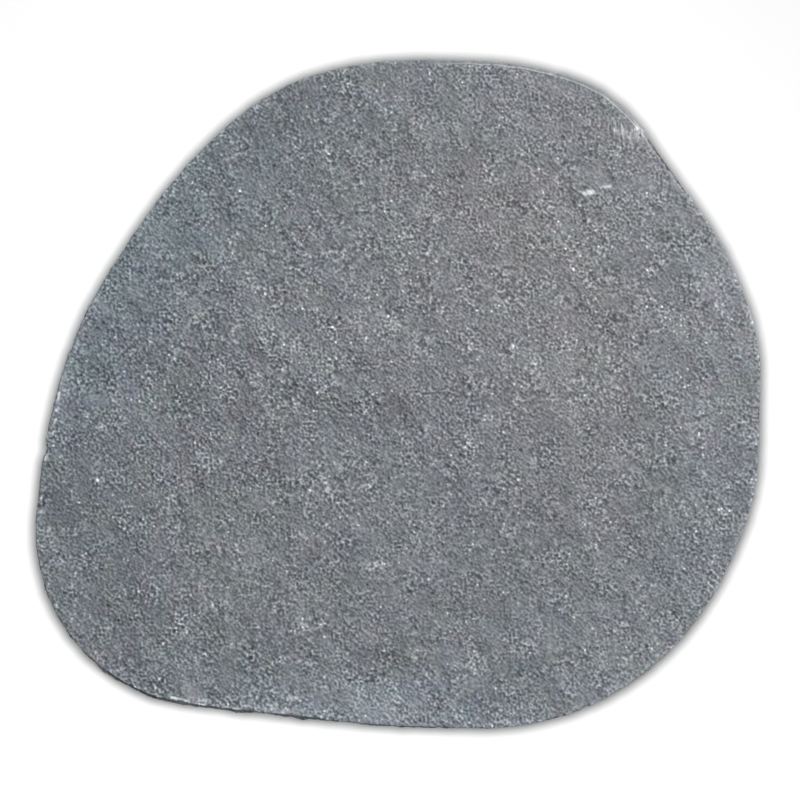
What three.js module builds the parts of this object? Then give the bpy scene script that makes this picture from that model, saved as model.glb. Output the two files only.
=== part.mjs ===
// Limestone stepping stone: one flat, worn slab that lies on its sawn underside.
// Millimetres. +Z is up, +X runs along the slab's length, +Y along its width.
// The origin is under the middle of the slab, on the ground.

import * as THREE from 'three';

// ---- Driving dimensions ----

const THICKNESS = 35;          // underside to the plane of the walked-on face
const TOP_ROUND = 2.2;         // radius of the worn edge round the top
const FOOT_ROUND = 4;          // radius of the broken edge round the underside
const SIDE_BELLY = 1.2;        // how far the side swells out between the two rounded edges
const CROWN = 1.1;             // how far the top falls from its middle to its edge

const RIM_STEPS = 132;         // points round the outline
const ROUND_STEPS = 3;         // steps across each rounded edge
const BELLY_STEPS = 4;         // steps up the side
const RING_PITCH = 13;         // distance between the rings of points on the top
const FLOOR_RING_PITCH = 60;   // the same on the flat underside, which needs fewer
const LEAST_RING_STEPS = 6;    // points in the smallest ring

// The outline at its widest, anticlockwise from the right. A long straight flank faces
// the upper left, a shorter one the lower left, and the rest is rounded by wear.
const OUTLINE = [
  [224.5, -10], [222.5, 36], [203, 89], [165, 145.5],
  [146, 172], [121, 192], [82, 204], [30, 208],
  [-26, 205], [-70, 191.5], [-106, 167], [-150, 119],
  [-197, 43], [-214.5, -10], [-222, -55], [-224, -95],
  [-213, -134], [-189, -167], [-156, -188], [-120, -195.5],
  [-58, -202], [25, -208], [82, -204.5], [132, -186.5],
  [176, -151], [205, -106], [221, -60],
];

// Low swells and dips of the split face: where, how far they spread along and across,
// which way they run (degrees from +X), and how high they rise (negative for a dip).
const RELIEF = [
  { name: 'long swell right of the middle', at: [66, 14], spread: [78, 34], turn: -56, rise: 1.0 },
  { name: 'shallow dip at the middle', at: [-34, -12], spread: [46, 16], turn: 4, rise: -0.9 },
  { name: 'swell left of the middle', at: [-76, 34], spread: [30, 17], turn: -38, rise: 0.7 },
  { name: 'swell near the upper edge', at: [20, 138], spread: [58, 26], turn: -12, rise: 0.8 },
  { name: 'worn hollow at the left', at: [-150, -70], spread: [50, 34], turn: 70, rise: -1.1 },
  { name: 'swell towards the right edge', at: [168, 20], spread: [60, 26], turn: 98, rise: 0.6 },
  { name: 'dip at the lower right', at: [96, -122], spread: [52, 24], turn: 24, rise: -0.8 },
  { name: 'swell near the lower edge', at: [-46, -150], spread: [64, 22], turn: -6, rise: 0.7 },
];

const STONE_COLOUR = 0x7e8286;
const STONE_ROUGHNESS = 0.82;

// ---- Outline ----

// The closed curve through the outline's points, centred on its own box.
function outlineCurve() {
  const points = OUTLINE.map(([x, y]) => new THREE.Vector3(x, y, 0));
  const curve = new THREE.CatmullRomCurve3(points, true, 'centripetal');
  const middle = new THREE.Box3().setFromPoints(curve.getSpacedPoints(RIM_STEPS)).getCenter(new THREE.Vector3());
  curve.points.forEach((point) => point.sub(middle));
  return curve;
}

// Points spaced evenly round the outline, each with the direction that faces out of the slab.
function rimPoints(curve) {
  const rim = [];
  for (let i = 0; i < RIM_STEPS; i += 1) {
    const along = curve.getTangentAt(i / RIM_STEPS);
    const at = curve.getPointAt(i / RIM_STEPS);
    rim.push({ x: at.x, y: at.y, outX: along.y, outY: -along.x });
  }
  return rim;
}

// ---- Heights of the top face ----

// Height that one swell or dip adds at a point.
function reliefAt({ at, spread, turn, rise }, x, y) {
  const angle = THREE.MathUtils.degToRad(turn);
  const dx = x - at[0];
  const dy = y - at[1];
  const u = (dx * Math.cos(angle) + dy * Math.sin(angle)) / spread[0];
  const v = (dy * Math.cos(angle) - dx * Math.sin(angle)) / spread[1];
  return rise * Math.exp(-0.5 * (u * u + v * v));
}

// Height of the walked-on face above the ground, before its edge rounds over.
function topHeight(x, y) {
  const reach = Math.hypot(x, y) / Math.abs(OUTLINE[0][0]);
  const swells = RELIEF.reduce((sum, feature) => sum + reliefAt(feature, x, y), 0);
  return THICKNESS - CROWN * reach * reach + swells;
}

// ---- Cross-section of the edge ----

// Steps from the flat underside to the top face. Each is how far in from the outline it lies,
// and either its height above the ground (up) or its depth below the top face (down).
function edgeProfile() {
  const profile = [];
  for (let i = 0; i <= ROUND_STEPS; i += 1) {
    const angle = (i / ROUND_STEPS) * Math.PI / 2;
    const inset = SIDE_BELLY + FOOT_ROUND * (1 - Math.sin(angle));
    profile.push({ inset, up: FOOT_ROUND * (1 - Math.cos(angle)) });
  }
  const sideTop = THICKNESS - CROWN - TOP_ROUND;
  for (let i = 1; i < BELLY_STEPS; i += 1) {
    const share = i / BELLY_STEPS;
    const inset = SIDE_BELLY * (1 - Math.sin(share * Math.PI));
    profile.push({ inset, up: THREE.MathUtils.lerp(FOOT_ROUND, sideTop, share) });
  }
  for (let i = 0; i <= ROUND_STEPS; i += 1) {
    const angle = (i / ROUND_STEPS) * Math.PI / 2;
    const inset = SIDE_BELLY + TOP_ROUND * (1 - Math.cos(angle));
    profile.push({ inset, down: TOP_ROUND * (1 - Math.sin(angle)) });
  }
  return profile;
}

// ---- Mesh ----

// Collects points and triangles, and joins rings that have different numbers of points.
class SlabMesh {
  constructor() {
    this.positions = [];
    this.triangles = [];
  }

  addPoint(x, y, z) {
    this.positions.push(x, y, z);
    return this.positions.length / 3 - 1;
  }

  addRing(points) {
    return points.map(([x, y, z]) => this.addPoint(x, y, z));
  }

  // A band of triangles from one ring to the next. Seen from outside, the first ring lies
  // to the right of the way round, so that the band faces out.
  joinRings(first, second) {
    let i = 0;
    let j = 0;
    while (i < first.length || j < second.length) {
      const nextFirst = (i + 1) / first.length;
      const nextSecond = (j + 1) / second.length;
      const a = first[i % first.length];
      const b = second[j % second.length];
      if (j >= second.length || (i < first.length && nextFirst <= nextSecond)) {
        this.triangles.push(a, first[(i + 1) % first.length], b);
        i += 1;
      } else {
        this.triangles.push(a, second[(j + 1) % second.length], b);
        j += 1;
      }
    }
  }

  // Closes a ring with a fan to one point.
  closeRing(ring, apex) {
    ring.forEach((point, i) => this.triangles.push(point, ring[(i + 1) % ring.length], apex));
  }

  toGeometry() {
    const geometry = new THREE.BufferGeometry();
    geometry.setAttribute('position', new THREE.Float32BufferAttribute(this.positions, 3));
    geometry.setIndex(this.triangles);
    geometry.computeVertexNormals();
    return geometry;
  }
}

// A smaller copy of a closed outline, with its own number of points.
function shrunkRing(rim, inset, steps, scale, heightAt) {
  const points = [];
  for (let i = 0; i < steps; i += 1) {
    const place = (i / steps) * rim.length;
    const from = rim[Math.floor(place) % rim.length];
    const to = rim[(Math.floor(place) + 1) % rim.length];
    const share = place - Math.floor(place);
    const x = THREE.MathUtils.lerp(from.x - from.outX * inset, to.x - to.outX * inset, share) * scale;
    const y = THREE.MathUtils.lerp(from.y - from.outY * inset, to.y - to.outY * inset, share) * scale;
    points.push([x, y, heightAt(x, y)]);
  }
  return points;
}

// Rings that fill a face from its edge to its middle, from the outermost inwards.
function faceRings(rim, inset, pitch, heightAt) {
  const radius = Math.abs(OUTLINE[0][0]) - inset;
  const count = Math.round(radius / pitch);
  const rings = [];
  for (let k = 1; k < count; k += 1) {
    const scale = 1 - k / count;
    const steps = Math.max(LEAST_RING_STEPS, Math.round(rim.length * scale));
    rings.push(shrunkRing(rim, inset, steps, scale, heightAt));
  }
  return rings;
}

// The whole slab: underside, rounded foot, side, rounded top edge and walked-on face.
function slabGeometry() {
  const rim = rimPoints(outlineCurve());
  const mesh = new SlabMesh();

  const edgeRings = edgeProfile().map(({ inset, up, down }) => mesh.addRing(
    shrunkRing(rim, inset, rim.length, 1, (x, y) => (up === undefined ? topHeight(x, y) - down : up)),
  ));
  for (let k = 1; k < edgeRings.length; k += 1) {
    mesh.joinRings(edgeRings[k - 1], edgeRings[k]);
  }

  let outer = edgeRings[edgeRings.length - 1];
  for (const points of faceRings(rim, SIDE_BELLY + TOP_ROUND, RING_PITCH, topHeight)) {
    const ring = mesh.addRing(points);
    mesh.joinRings(outer, ring);
    outer = ring;
  }
  mesh.closeRing(outer, mesh.addPoint(0, 0, topHeight(0, 0)));

  outer = edgeRings[0];
  for (const points of faceRings(rim, SIDE_BELLY + FOOT_ROUND, FLOOR_RING_PITCH, () => 0)) {
    const ring = mesh.addRing(points);
    mesh.joinRings(ring, outer);
    outer = ring;
  }
  mesh.closeRing([...outer].reverse(), mesh.addPoint(0, 0, 0));

  return mesh.toGeometry();
}

// ---- Scene graph ----

function steppingStone() {
  const stone = new THREE.MeshStandardMaterial({
    color: STONE_COLOUR,
    roughness: STONE_ROUGHNESS,
    metalness: 0,
  });
  const slab = new THREE.Mesh(slabGeometry(), stone);
  slab.name = 'stepping_stone';
  return slab;
}

const part = new THREE.Group();
part.add(steppingStone());

export default part;
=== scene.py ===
"""A limestone stepping stone: one flat, weathered slab on a pale studio floor.

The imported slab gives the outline, the height of the top and the place of everything else. This
script grows the real stone's surface on it: a worn top with its coarse crumbs, a split side with
chipped edges, and a sawn underside that lies flat.
"""

import itertools
import logging
import math
from dataclasses import dataclass, field, replace
from enum import Enum

import bpy
import numpy as np
from mathutils import Matrix, Vector
from mathutils.geometry import delaunay_2d_cdt


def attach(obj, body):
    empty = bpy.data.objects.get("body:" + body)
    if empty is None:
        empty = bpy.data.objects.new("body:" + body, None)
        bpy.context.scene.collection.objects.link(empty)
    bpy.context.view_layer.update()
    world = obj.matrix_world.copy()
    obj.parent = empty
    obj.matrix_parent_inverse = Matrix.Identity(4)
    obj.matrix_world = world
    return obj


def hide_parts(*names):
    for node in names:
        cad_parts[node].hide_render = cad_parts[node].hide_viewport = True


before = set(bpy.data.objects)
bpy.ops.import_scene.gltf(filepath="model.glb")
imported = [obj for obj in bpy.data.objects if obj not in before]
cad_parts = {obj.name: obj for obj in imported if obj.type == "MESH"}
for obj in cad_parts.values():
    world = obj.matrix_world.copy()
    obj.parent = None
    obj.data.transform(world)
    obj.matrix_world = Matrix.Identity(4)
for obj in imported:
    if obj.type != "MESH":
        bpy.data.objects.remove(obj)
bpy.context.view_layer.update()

logging.basicConfig(level=logging.INFO, format="%(name)s: %(message)s")
log = logging.getLogger("stepping_stone")

MM = 0.001
SLAB_NODE = "stepping_stone"
FULL_TURN = 2 * math.pi
HALF_TURN_DEGREES = 180.0
NOISE_GAIN = 3.6  # brings a shader's signed noise, with a deviation of about 0.28, to about 1
FILL_INSIDE = 1  # the triangulation keeps what lies inside its border
MERGE_DISTANCE = 1e-9  # places closer than this are one, in metres
COLOUR_A, COLOUR_B, COLOUR_RESULT = 6, 7, 2  # a Mix node's sockets for colours

Points = np.ndarray  # one row of x, y, z for each point, in metres
Values = np.ndarray  # one number for each point
Socket = bpy.types.NodeSocket


# ---------------------------------------------------------------------------------------------
# Noise in space
# ---------------------------------------------------------------------------------------------


def smooth_step(low: float, high: float, values: Values) -> Values:
    """Rises from 0 at low to 1 at high, with no corner at either end."""
    share = np.clip((values - low) / (high - low), 0.0, 1.0)
    return share * share * (3.0 - 2.0 * share)


def near_bearing(bearings: Values, middle: float, reach: float) -> Values:
    """How near bearings are to a middle one, from 0 to 1. All of them are in degrees."""
    off = (bearings - middle + 180) % 360 - 180
    return np.exp(-0.5 * (off / reach) ** 2)


def lattice_hash(cells: np.ndarray, seed: int) -> np.ndarray:
    """A well mixed whole number for each cell of a lattice.

    Args:
        cells: Whole-number lattice places, one row of three for each point.
        seed: Tells one lattice from another.

    Returns:
        Unsigned 32-bit numbers.
    """
    x, y, z = (cells[:, axis].astype(np.uint32) for axis in range(3))
    mixed = x * np.uint32(0x8DA6B343) + y * np.uint32(0xD8163841) + z * np.uint32(0xCB1AB31F)
    mixed = mixed + np.uint32(seed * 0x9E3779B1 & 0xFFFFFFFF)
    for shift, factor in ((16, 0x7FEB352D), (15, 0x846CA68B)):
        mixed = (mixed ^ (mixed >> np.uint32(shift))) * np.uint32(factor)
    return mixed ^ (mixed >> np.uint32(16))


def random_turn(seed: int) -> np.ndarray:
    """A random rotation matrix, so that no layer of noise lines up with the slab or another."""
    turn, _ = np.linalg.qr(np.random.default_rng(seed).normal(size=(3, 3)))
    return turn


def gradient_noise(points: Points, size: float, seed: int) -> Values:
    """Smooth noise in space.

    Args:
        points: Where it is wanted.
        size: Edge of a lattice cell, in metres. Bumps come out about this wide.
        seed: Tells one layer from another.

    Returns:
        A value for each point, with mean 0 and standard deviation 1.
    """
    table = np.random.default_rng(seed).normal(size=(256, 3))
    table /= np.linalg.norm(table, axis=1, keepdims=True)
    place = points @ random_turn(seed) / size
    cell = np.floor(place).astype(np.int64)
    inside = place - cell
    fade = inside**3 * (inside * (inside * 6.0 - 15.0) + 10.0)
    total = np.zeros(len(points))
    for corner in itertools.product((0, 1), repeat=3):
        gradient = table[lattice_hash(cell + corner, seed) & np.uint32(255)]
        reach = ((inside - corner) * gradient).sum(axis=1)
        total += np.where(corner, fade, 1.0 - fade).prod(axis=1) * reach
    return (total - total.mean()) / total.std()


def cell_noise(points: Points, size: float, seed: int) -> tuple[Values, Values]:
    """Distance to the scattered middles of cells, as in a bed of pebbles.

    Args:
        points: Where it is wanted.
        size: Mean distance between the middles, in metres.
        seed: Tells one layer from another.

    Returns:
        The distance to the nearest middle, in sizes, and a random number from 0 to 1 that
        belongs to its cell.
    """
    place = points @ random_turn(seed) / size
    cell = np.floor(place).astype(np.int64)
    nearest = np.full(len(points), np.inf)
    owner = np.zeros(len(points))
    for step in itertools.product((-1, 0, 1), repeat=3):
        other = cell + step
        jitter = np.stack([lattice_hash(other, seed + k) / 2.0**32 for k in (1, 2, 3)], axis=1)
        away = np.linalg.norm(other + jitter - place, axis=1)
        owner = np.where(away < nearest, jitter[:, 0], owner)
        nearest = np.minimum(nearest, away)
    return nearest, owner


# ---------------------------------------------------------------------------------------------
# The slab's form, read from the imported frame
# ---------------------------------------------------------------------------------------------


class PackedSlab:
    """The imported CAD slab: its outline at the girth and the height of its top."""

    LEAST_RING = 100  # a ring round the slab has at least this many points
    BEARINGS = 2048
    HARMONICS = 48
    TOP_SMOOTHING = 9.0 * MM
    EDGE_MARGIN = 3.0 * MM
    BATCH = 4096
    PLACE_DECIMALS = 6  # corners that agree to this many decimals are one point
    LEVEL_DECIMALS = 5  # and points that agree to this many in height are one ring

    def __init__(self, node: bpy.types.Object) -> None:
        """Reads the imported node's points.

        Args:
            node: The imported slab, as the frame gives it.
        """
        corners = np.array([vertex.co for vertex in node.data.vertices], float)
        self.points = np.unique(corners.round(self.PLACE_DECIMALS), axis=0)
        self.thickness = float(self.points[:, 2].max())
        self.even_bearings = np.arange(self.BEARINGS) / self.BEARINGS * FULL_TURN
        self.girth_radii = self._girth()
        reach = np.hypot(self.points[:, 0], self.points[:, 1])
        inner = reach < self.radius(self.bearing_of(self.points)) - self.EDGE_MARGIN
        self.top_points = self.points[inner & (self.points[:, 2] > self.thickness / 2)]

    @staticmethod
    def bearing_of(points: Points) -> Values:
        """Directions of points from the slab's middle, in radians from +X, from 0 to 2 pi."""
        return np.arctan2(points[:, 1], points[:, 0]) % FULL_TURN

    def _girth(self) -> Values:
        """The widest ring's distance from the middle at the even bearings, with its facets smoothed."""
        levels = self.points[:, 2].round(self.LEVEL_DECIMALS)
        rings = [self.points[levels == level] for level in np.unique(levels)]
        rings = [ring for ring in rings if len(ring) >= self.LEAST_RING]
        girth = max(rings, key=lambda ring: float(np.hypot(ring[:, 0], ring[:, 1]).mean()))
        bearing = self.bearing_of(girth)
        order = np.argsort(bearing)
        reach = np.hypot(girth[order, 0], girth[order, 1])
        radii = np.interp(self.even_bearings, bearing[order], reach, period=FULL_TURN)
        waves = np.fft.rfft(radii)
        waves[self.HARMONICS :] = 0.0
        return np.fft.irfft(waves, self.BEARINGS)

    def radius(self, bearings: Values) -> Values:
        """Distance from the middle to the girth at these bearings."""
        return np.interp(bearings, self.even_bearings, self.girth_radii, period=FULL_TURN)

    def depth_inside(self, points: Points) -> Values:
        """How far inside the girth each point lies, in plan."""
        return self.radius(self.bearing_of(points)) - np.hypot(points[:, 0], points[:, 1])

    def top_height(self, points: Points) -> Values:
        """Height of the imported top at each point, smoothed over its facets."""
        heights = np.empty(len(points))
        for start in range(0, len(points), self.BATCH):
            batch = points[start : start + self.BATCH, None, :2]
            away = ((batch - self.top_points[None, :, :2]) ** 2).sum(axis=2)
            away -= away.min(axis=1, keepdims=True)
            weight = np.exp(-away / (2 * self.TOP_SMOOTHING**2))
            level = (weight @ self.top_points[:, 2]) / weight.sum(axis=1)
            heights[start : start + self.BATCH] = level
        return heights

    def ring(self, count: int) -> tuple[Points, Points, Values]:
        """Points spaced evenly along the girth.

        Args:
            count: How many.

        Returns:
            The points at ground level, their outward directions, and their bearings.
        """
        bearings = np.append(self.even_bearings, FULL_TURN)
        reach = self.radius(bearings)
        line = np.stack([reach * np.cos(bearings), reach * np.sin(bearings)], axis=1)
        steps = np.linalg.norm(np.diff(line, axis=0), axis=1)
        travelled = np.insert(np.cumsum(steps), 0, 0.0)
        bearing = np.interp(np.arange(count) / count * travelled[-1], travelled, bearings)
        reach = self.radius(bearing)
        ring = np.stack([reach * np.cos(bearing), reach * np.sin(bearing), 0 * reach], axis=1)
        along = np.roll(ring, -1, axis=0) - np.roll(ring, 1, axis=0)
        out = np.stack([along[:, 1], -along[:, 0], 0 * reach], axis=1)
        return ring, out / np.linalg.norm(out, axis=1, keepdims=True), bearing


# ---------------------------------------------------------------------------------------------
# A smooth closed shell of the slab, fine enough to carry the stone's grain
# ---------------------------------------------------------------------------------------------


class Face(Enum):
    """Which of the slab's faces a triangle belongs to."""

    TOP = 0
    EDGE = 1
    UNDERSIDE = 2


@dataclass
class Shell:
    """The smooth slab: its points, its triangles and where each lies on it."""

    places: Points
    outward: Points
    triangles: np.ndarray
    faces: np.ndarray  # the Face of each triangle
    columns: np.ndarray  # each point's number round the edge
    lines: Values  # each point's distance down the edge, from the top's rim


@dataclass(frozen=True)
class Lean:
    """A stretch of the edge where the side leans in towards the top.

    Its bearing and reach are in degrees, its amount at the upper arris in millimetres.
    """

    bearing: float
    reach: float
    amount: float

    def inset(self, bearings: Values) -> Values:
        """How far it moves the upper arris in, in metres, at bearings in radians."""
        return self.amount * MM * near_bearing(np.degrees(bearings), self.bearing, self.reach)


@dataclass
class EdgeSection:
    """The slab's edge in cross-section: a crisp upper arris, an upright side, a rounded foot."""

    thickness: float
    top_round: float = 0.7 * MM
    foot_round: float = 4.0 * MM
    top_inset: float = 0.05 * MM
    foot_inset: float = 1.2 * MM
    leans: tuple[Lean, ...] = (Lean(226, 6, 1.2), Lean(244, 14, 2.5), Lean(275, 7, 1.4))
    top_rows: int = 2
    side_rows: int = 14
    foot_rows: int = 3

    def rim_inset(self, bearings: Values) -> Values:
        """How far the upper arris stands inside the girth."""
        return self.top_inset + sum(lean.inset(bearings) for lean in self.leans)

    def rows(self, bearings: Values) -> list[tuple[Values, Values, float, bool]]:
        """The section's steps, from the top's rim down to the underside's.

        Args:
            bearings: Where round the slab, in radians.

        Returns:
            For each step its inset from the girth, its height, the slope of its outward
            direction in radians above the horizon, and whether its height is a drop from the top.
        """
        level = np.zeros(len(bearings))
        inset = self.rim_inset(bearings)
        steps = []
        for step in range(self.top_rows + 1):
            slope = math.pi / 2 * (1 - step / self.top_rows)
            across = inset + self.top_round * (1 - math.cos(slope))
            steps.append((across, level + self.top_round * (1 - math.sin(slope)), slope, True))
        high, low = self.thickness - self.top_round, self.foot_round
        for step in range(1, self.side_rows):
            share = step / self.side_rows
            across = inset * max(0.0, 1 - 2 * share) ** 2
            across = across + self.foot_inset * max(0.0, 2 * share - 1) ** 2
            steps.append((across, level + high + (low - high) * share, 0.0, False))
        for step in range(self.foot_rows + 1):
            slope = -math.pi / 2 * step / self.foot_rows
            across = level + self.foot_inset + low * (1 - math.cos(slope))
            steps.append((across, level + low * (1 + math.sin(slope)), slope, False))
        return steps


@dataclass
class ShellMaker:
    """Lays out the slab's mesh.

    The top is an even scatter, the edge is rows of points one under another, and the underside
    grows coarser inwards, because nothing is seen of it but its rim.
    """

    slab: PackedSlab
    section: EdgeSection
    spacing: float = 1.52 * MM
    jitter: float = 0.27
    rim_room: float = 0.62  # the scatter's least distance from the rim, in spacings
    ring_count: int = 896
    underside_first: float = 1.8  # the underside's first ring lies this far in, in spacings
    underside_growth: float = 1.22
    underside_spacing: float = 9.0 * MM
    underside_reach: float = 0.97  # its rings stop at this share of the way to the middle
    underside_jitter: float = 0.2
    least_ring: int = 6
    seed: int = 11

    def build(self) -> Shell:
        """Makes the whole smooth shell."""
        rng = np.random.default_rng(self.seed)
        ring, out, bearings = self.slab.ring(self.ring_count)
        places, outward, lines = self._edge(ring, out, bearings)
        count, levels = self.ring_count, len(lines)
        bands = [self._band(level) for level in range(levels - 1)]
        triangles = [np.concatenate(bands)]
        faces = [np.full(len(triangles[0]), Face.EDGE.value)]
        columns = [np.tile(np.arange(count), levels)]
        down = [np.repeat(lines, count)]
        used = count * levels
        for face, level, up in ((Face.TOP, 0, 1.0), (Face.UNDERSIDE, levels - 1, -1.0)):
            rim = places[level]
            inner = self._scatter(rim, rng) if face is Face.TOP else self._graded(rim, rng)
            index = np.concatenate([level * count + np.arange(count), used + np.arange(len(inner))])
            triangles.append(self._fill(np.concatenate([rim[:, :2], inner]), index, up > 0))
            faces.append(np.full(len(triangles[-1]), face.value))
            new = np.zeros((len(inner), 3))
            new[:, :2] = inner
            if face is Face.TOP:
                new[:, 2] = self.slab.top_height(new)
            places.append(new)
            outward.append(np.tile((0.0, 0.0, up), (len(inner), 1)))
            columns.append(np.zeros(len(inner), int))
            down.append(np.zeros(len(inner)))
            used += len(inner)
        return Shell(
            places=np.concatenate(places),
            outward=np.concatenate(outward),
            triangles=np.concatenate(triangles),
            faces=np.concatenate(faces),
            columns=np.concatenate(columns),
            lines=np.concatenate(down),
        )

    def _edge(
        self, ring: Points, out: Points, bearings: Values
    ) -> tuple[list[Points], list[Points], Values]:
        """The rows of points round the edge.

        Args:
            ring: The girth's points at ground level.
            out: Their outward directions.
            bearings: Their bearings.

        Returns:
            Each row's points, their outward directions, and each row's distance down the edge.
        """
        places, outward = [], []
        for inset, height, slope, is_drop in self.section.rows(bearings):
            row = ring - out * inset[:, None]
            row[:, 2] = self.slab.top_height(row) - height if is_drop else height
            facing = out * math.cos(slope)
            facing[:, 2] = math.sin(slope)
            places.append(row)
            outward.append(facing)
        steps = [np.linalg.norm(low - high, axis=1).mean() for high, low in zip(places, places[1:])]
        return places, outward, np.insert(np.cumsum(steps), 0, 0.0)

    def _band(self, level: int) -> np.ndarray:
        """Triangles between a row of the edge and the next, split on alternating diagonals."""
        here = np.arange(self.ring_count)
        after = (here + 1) % self.ring_count
        upper = level * self.ring_count
        lower = upper + self.ring_count
        a, b, c, d = upper + here, upper + after, lower + after, lower + here
        even = ((here + level) % 2 == 0)[:, None]
        first = np.where(even, np.stack([a, d, b], axis=1), np.stack([a, d, c], axis=1))
        second = np.where(even, np.stack([b, d, c], axis=1), np.stack([a, c, b], axis=1))
        return np.concatenate([first, second])

    def _scatter(self, rim: Points, rng: np.random.Generator) -> np.ndarray:
        """A jittered triangular scatter of plan places inside the top's rim."""
        half = np.abs(rim[:, :2]).max() + self.spacing
        pitch = self.spacing * math.sqrt(3) / 2
        lines = []
        for line, y in enumerate(np.arange(-half, half, pitch)):
            x = np.arange(-half, half, self.spacing) + (line % 2) * self.spacing / 2
            lines.append(np.stack([x, np.full(len(x), y)], axis=1))
        grid = np.concatenate(lines)
        grid += rng.uniform(-self.jitter, self.jitter, grid.shape) * self.spacing
        return grid[self._room(grid, rim) > self.rim_room * self.spacing]

    def _graded(self, rim: Points, rng: np.random.Generator) -> np.ndarray:
        """Rings of plan places inside the foot's rim, wider apart towards the middle.

        Args:
            rim: The foot's points.
            rng: Where the random numbers come from.

        Returns:
            One row of x and y for each place.
        """
        rings, inset, step = [], 0.0, self.underside_first * self.spacing
        reach = float(np.hypot(rim[:, 0], rim[:, 1]).min())
        around = float(np.linalg.norm(np.diff(rim[:, :2], axis=0), axis=1).sum())
        while inset + step < self.underside_reach * reach:
            inset += step
            scale = 1 - inset / reach
            number = max(self.least_ring, int(around * scale / step))
            spot = (np.arange(number) + 0.5 * (len(rings) % 2)) / number * len(rim)
            low = spot.astype(int) % len(rim)
            share = (spot - spot.astype(int))[:, None]
            ring = rim[low, :2] * (1 - share) + rim[(low + 1) % len(rim), :2] * share
            jitter = rng.uniform(-self.underside_jitter, self.underside_jitter, ring.shape)
            rings.append(ring * scale + jitter * step)
            step = min(step * self.underside_growth, self.underside_spacing)
        return np.concatenate(rings)

    @staticmethod
    def _room(grid: np.ndarray, rim: Points) -> Values:
        """How far each plan place lies inside the rim, or below 0 outside it."""
        bearing = np.arctan2(grid[:, 1], grid[:, 0]) % FULL_TURN
        rim_bearing = PackedSlab.bearing_of(rim)
        order = np.argsort(rim_bearing)
        reach = np.hypot(rim[order, 0], rim[order, 1])
        edge = np.interp(bearing, rim_bearing[order], reach, period=FULL_TURN)
        return edge - np.hypot(grid[:, 0], grid[:, 1])

    def _fill(self, flat: np.ndarray, index: np.ndarray, upward: bool) -> np.ndarray:
        """Triangles that fill a rim through the places scattered in it.

        Args:
            flat: Plan places, the rim's first.
            index: The shell's number for each.
            upward: Whether the faces look up.

        Returns:
            One row of three shell numbers for each triangle.
        """
        border = [(i, (i + 1) % self.ring_count) for i in range(self.ring_count)]
        corners = [Vector(place) for place in flat]
        found = delaunay_2d_cdt(corners, border, [], FILL_INSIDE, MERGE_DISTANCE, True)
        original = np.array([ids[0] for ids in found[3]])
        triangles = original[np.array(found[2])]
        a, b, c = (flat[triangles[:, corner]] for corner in range(3))
        turn = (b - a)[:, 0] * (c - a)[:, 1] - (b - a)[:, 1] * (c - a)[:, 0]
        wrong = (turn > 0) != upward
        triangles[wrong] = triangles[wrong][:, ::-1]
        return index[triangles]


class Charts:
    """Lays the shell's faces out flat in the unit square, with none over another.

    The top has the large upper left, the underside's two halves lie below it, and the edge
    stands in two upright strips on the right.
    """

    TOP_SCALE = 1.9
    TOP_MIDDLE = (0.435, 0.600)
    UNDERSIDE_SCALE = 0.88
    BACK_HALF_AT = (0.211, 0.012)
    FRONT_HALF_AT = (0.651, 0.188)
    EDGE_SCALE = 1.43
    STRIP_LEFT = (0.875, 0.938)
    STRIP_LENGTH = 0.98

    def __init__(self, shell: Shell, ring_count: int) -> None:
        """Keeps the shell to lay out.

        Args:
            shell: The slab's shell.
            ring_count: How many points go round its edge.
        """
        self.shell = shell
        self.ring_count = ring_count

    def corners(self) -> np.ndarray:
        """The place in the unit square of each triangle's three corners, in the mesh's order."""
        shell = self.shell
        plan = shell.places[shell.triangles][:, :, :2]
        top = plan * self.TOP_SCALE + self.TOP_MIDDLE
        back = (plan[:, :, 1].mean(axis=1) > 0)[:, None, None]
        under = plan * self.UNDERSIDE_SCALE + np.where(back, self.BACK_HALF_AT, self.FRONT_HALF_AT)
        half = self.ring_count // 2
        column = shell.columns[shell.triangles].astype(float)
        wraps = np.ptp(column, axis=1) > half
        column[wraps] = np.where(column[wraps] < half, column[wraps] + self.ring_count, column[wraps])
        strip = (column.min(axis=1) >= half).astype(int)
        left = np.array(self.STRIP_LEFT)[strip][:, None]
        across = left + shell.lines[shell.triangles] * self.EDGE_SCALE
        along = (1 - self.STRIP_LENGTH) / 2 + (column / half - strip[:, None]) * self.STRIP_LENGTH
        edge = np.stack([across, along], axis=2)
        which = shell.faces[:, None, None]
        return np.where(which == Face.TOP.value, top, np.where(which == Face.EDGE.value, edge, under))


# ---------------------------------------------------------------------------------------------
# The stone's relief and its stains
# ---------------------------------------------------------------------------------------------


@dataclass(frozen=True)
class Patch:
    """A soft oval on the slab. Sizes are in millimetres, the turn in degrees."""

    at: tuple[float, float]
    spread: tuple[float, float]
    turn: float

    def share(self, points: Points) -> Values:
        """How far each point is in it, from 0 to 1."""
        away = points[:, :2] / MM - self.at
        angle = math.radians(self.turn)
        along = away @ (math.cos(angle), math.sin(angle)) / self.spread[0]
        across = away @ (-math.sin(angle), math.cos(angle)) / self.spread[1]
        return np.exp(-0.5 * (along**2 + across**2))


@dataclass(frozen=True)
class Swell(Patch):
    """A low rise or dip of the top, in millimetres."""

    rise: float


@dataclass(frozen=True)
class StainAndLightPatch(Patch):
    """A patch unlike the rest.

    It may be paler (tone), redder or bluer (warmth), greener (verdure), more mixed in hue
    (mottle), smoother (polish), richer in crystals (sparkle) or combed with fine lines (scuff).
    Those that lie on the swells paint light and shade on them: paler on the ridges, darker in the dips.
    """

    tone: float = 0.0
    warmth: float = 0.0
    verdure: float = 0.0
    mottle: float = 0.0
    polish: float = 0.0
    sparkle: float = 0.0
    scuff: float = 0.0


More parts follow.
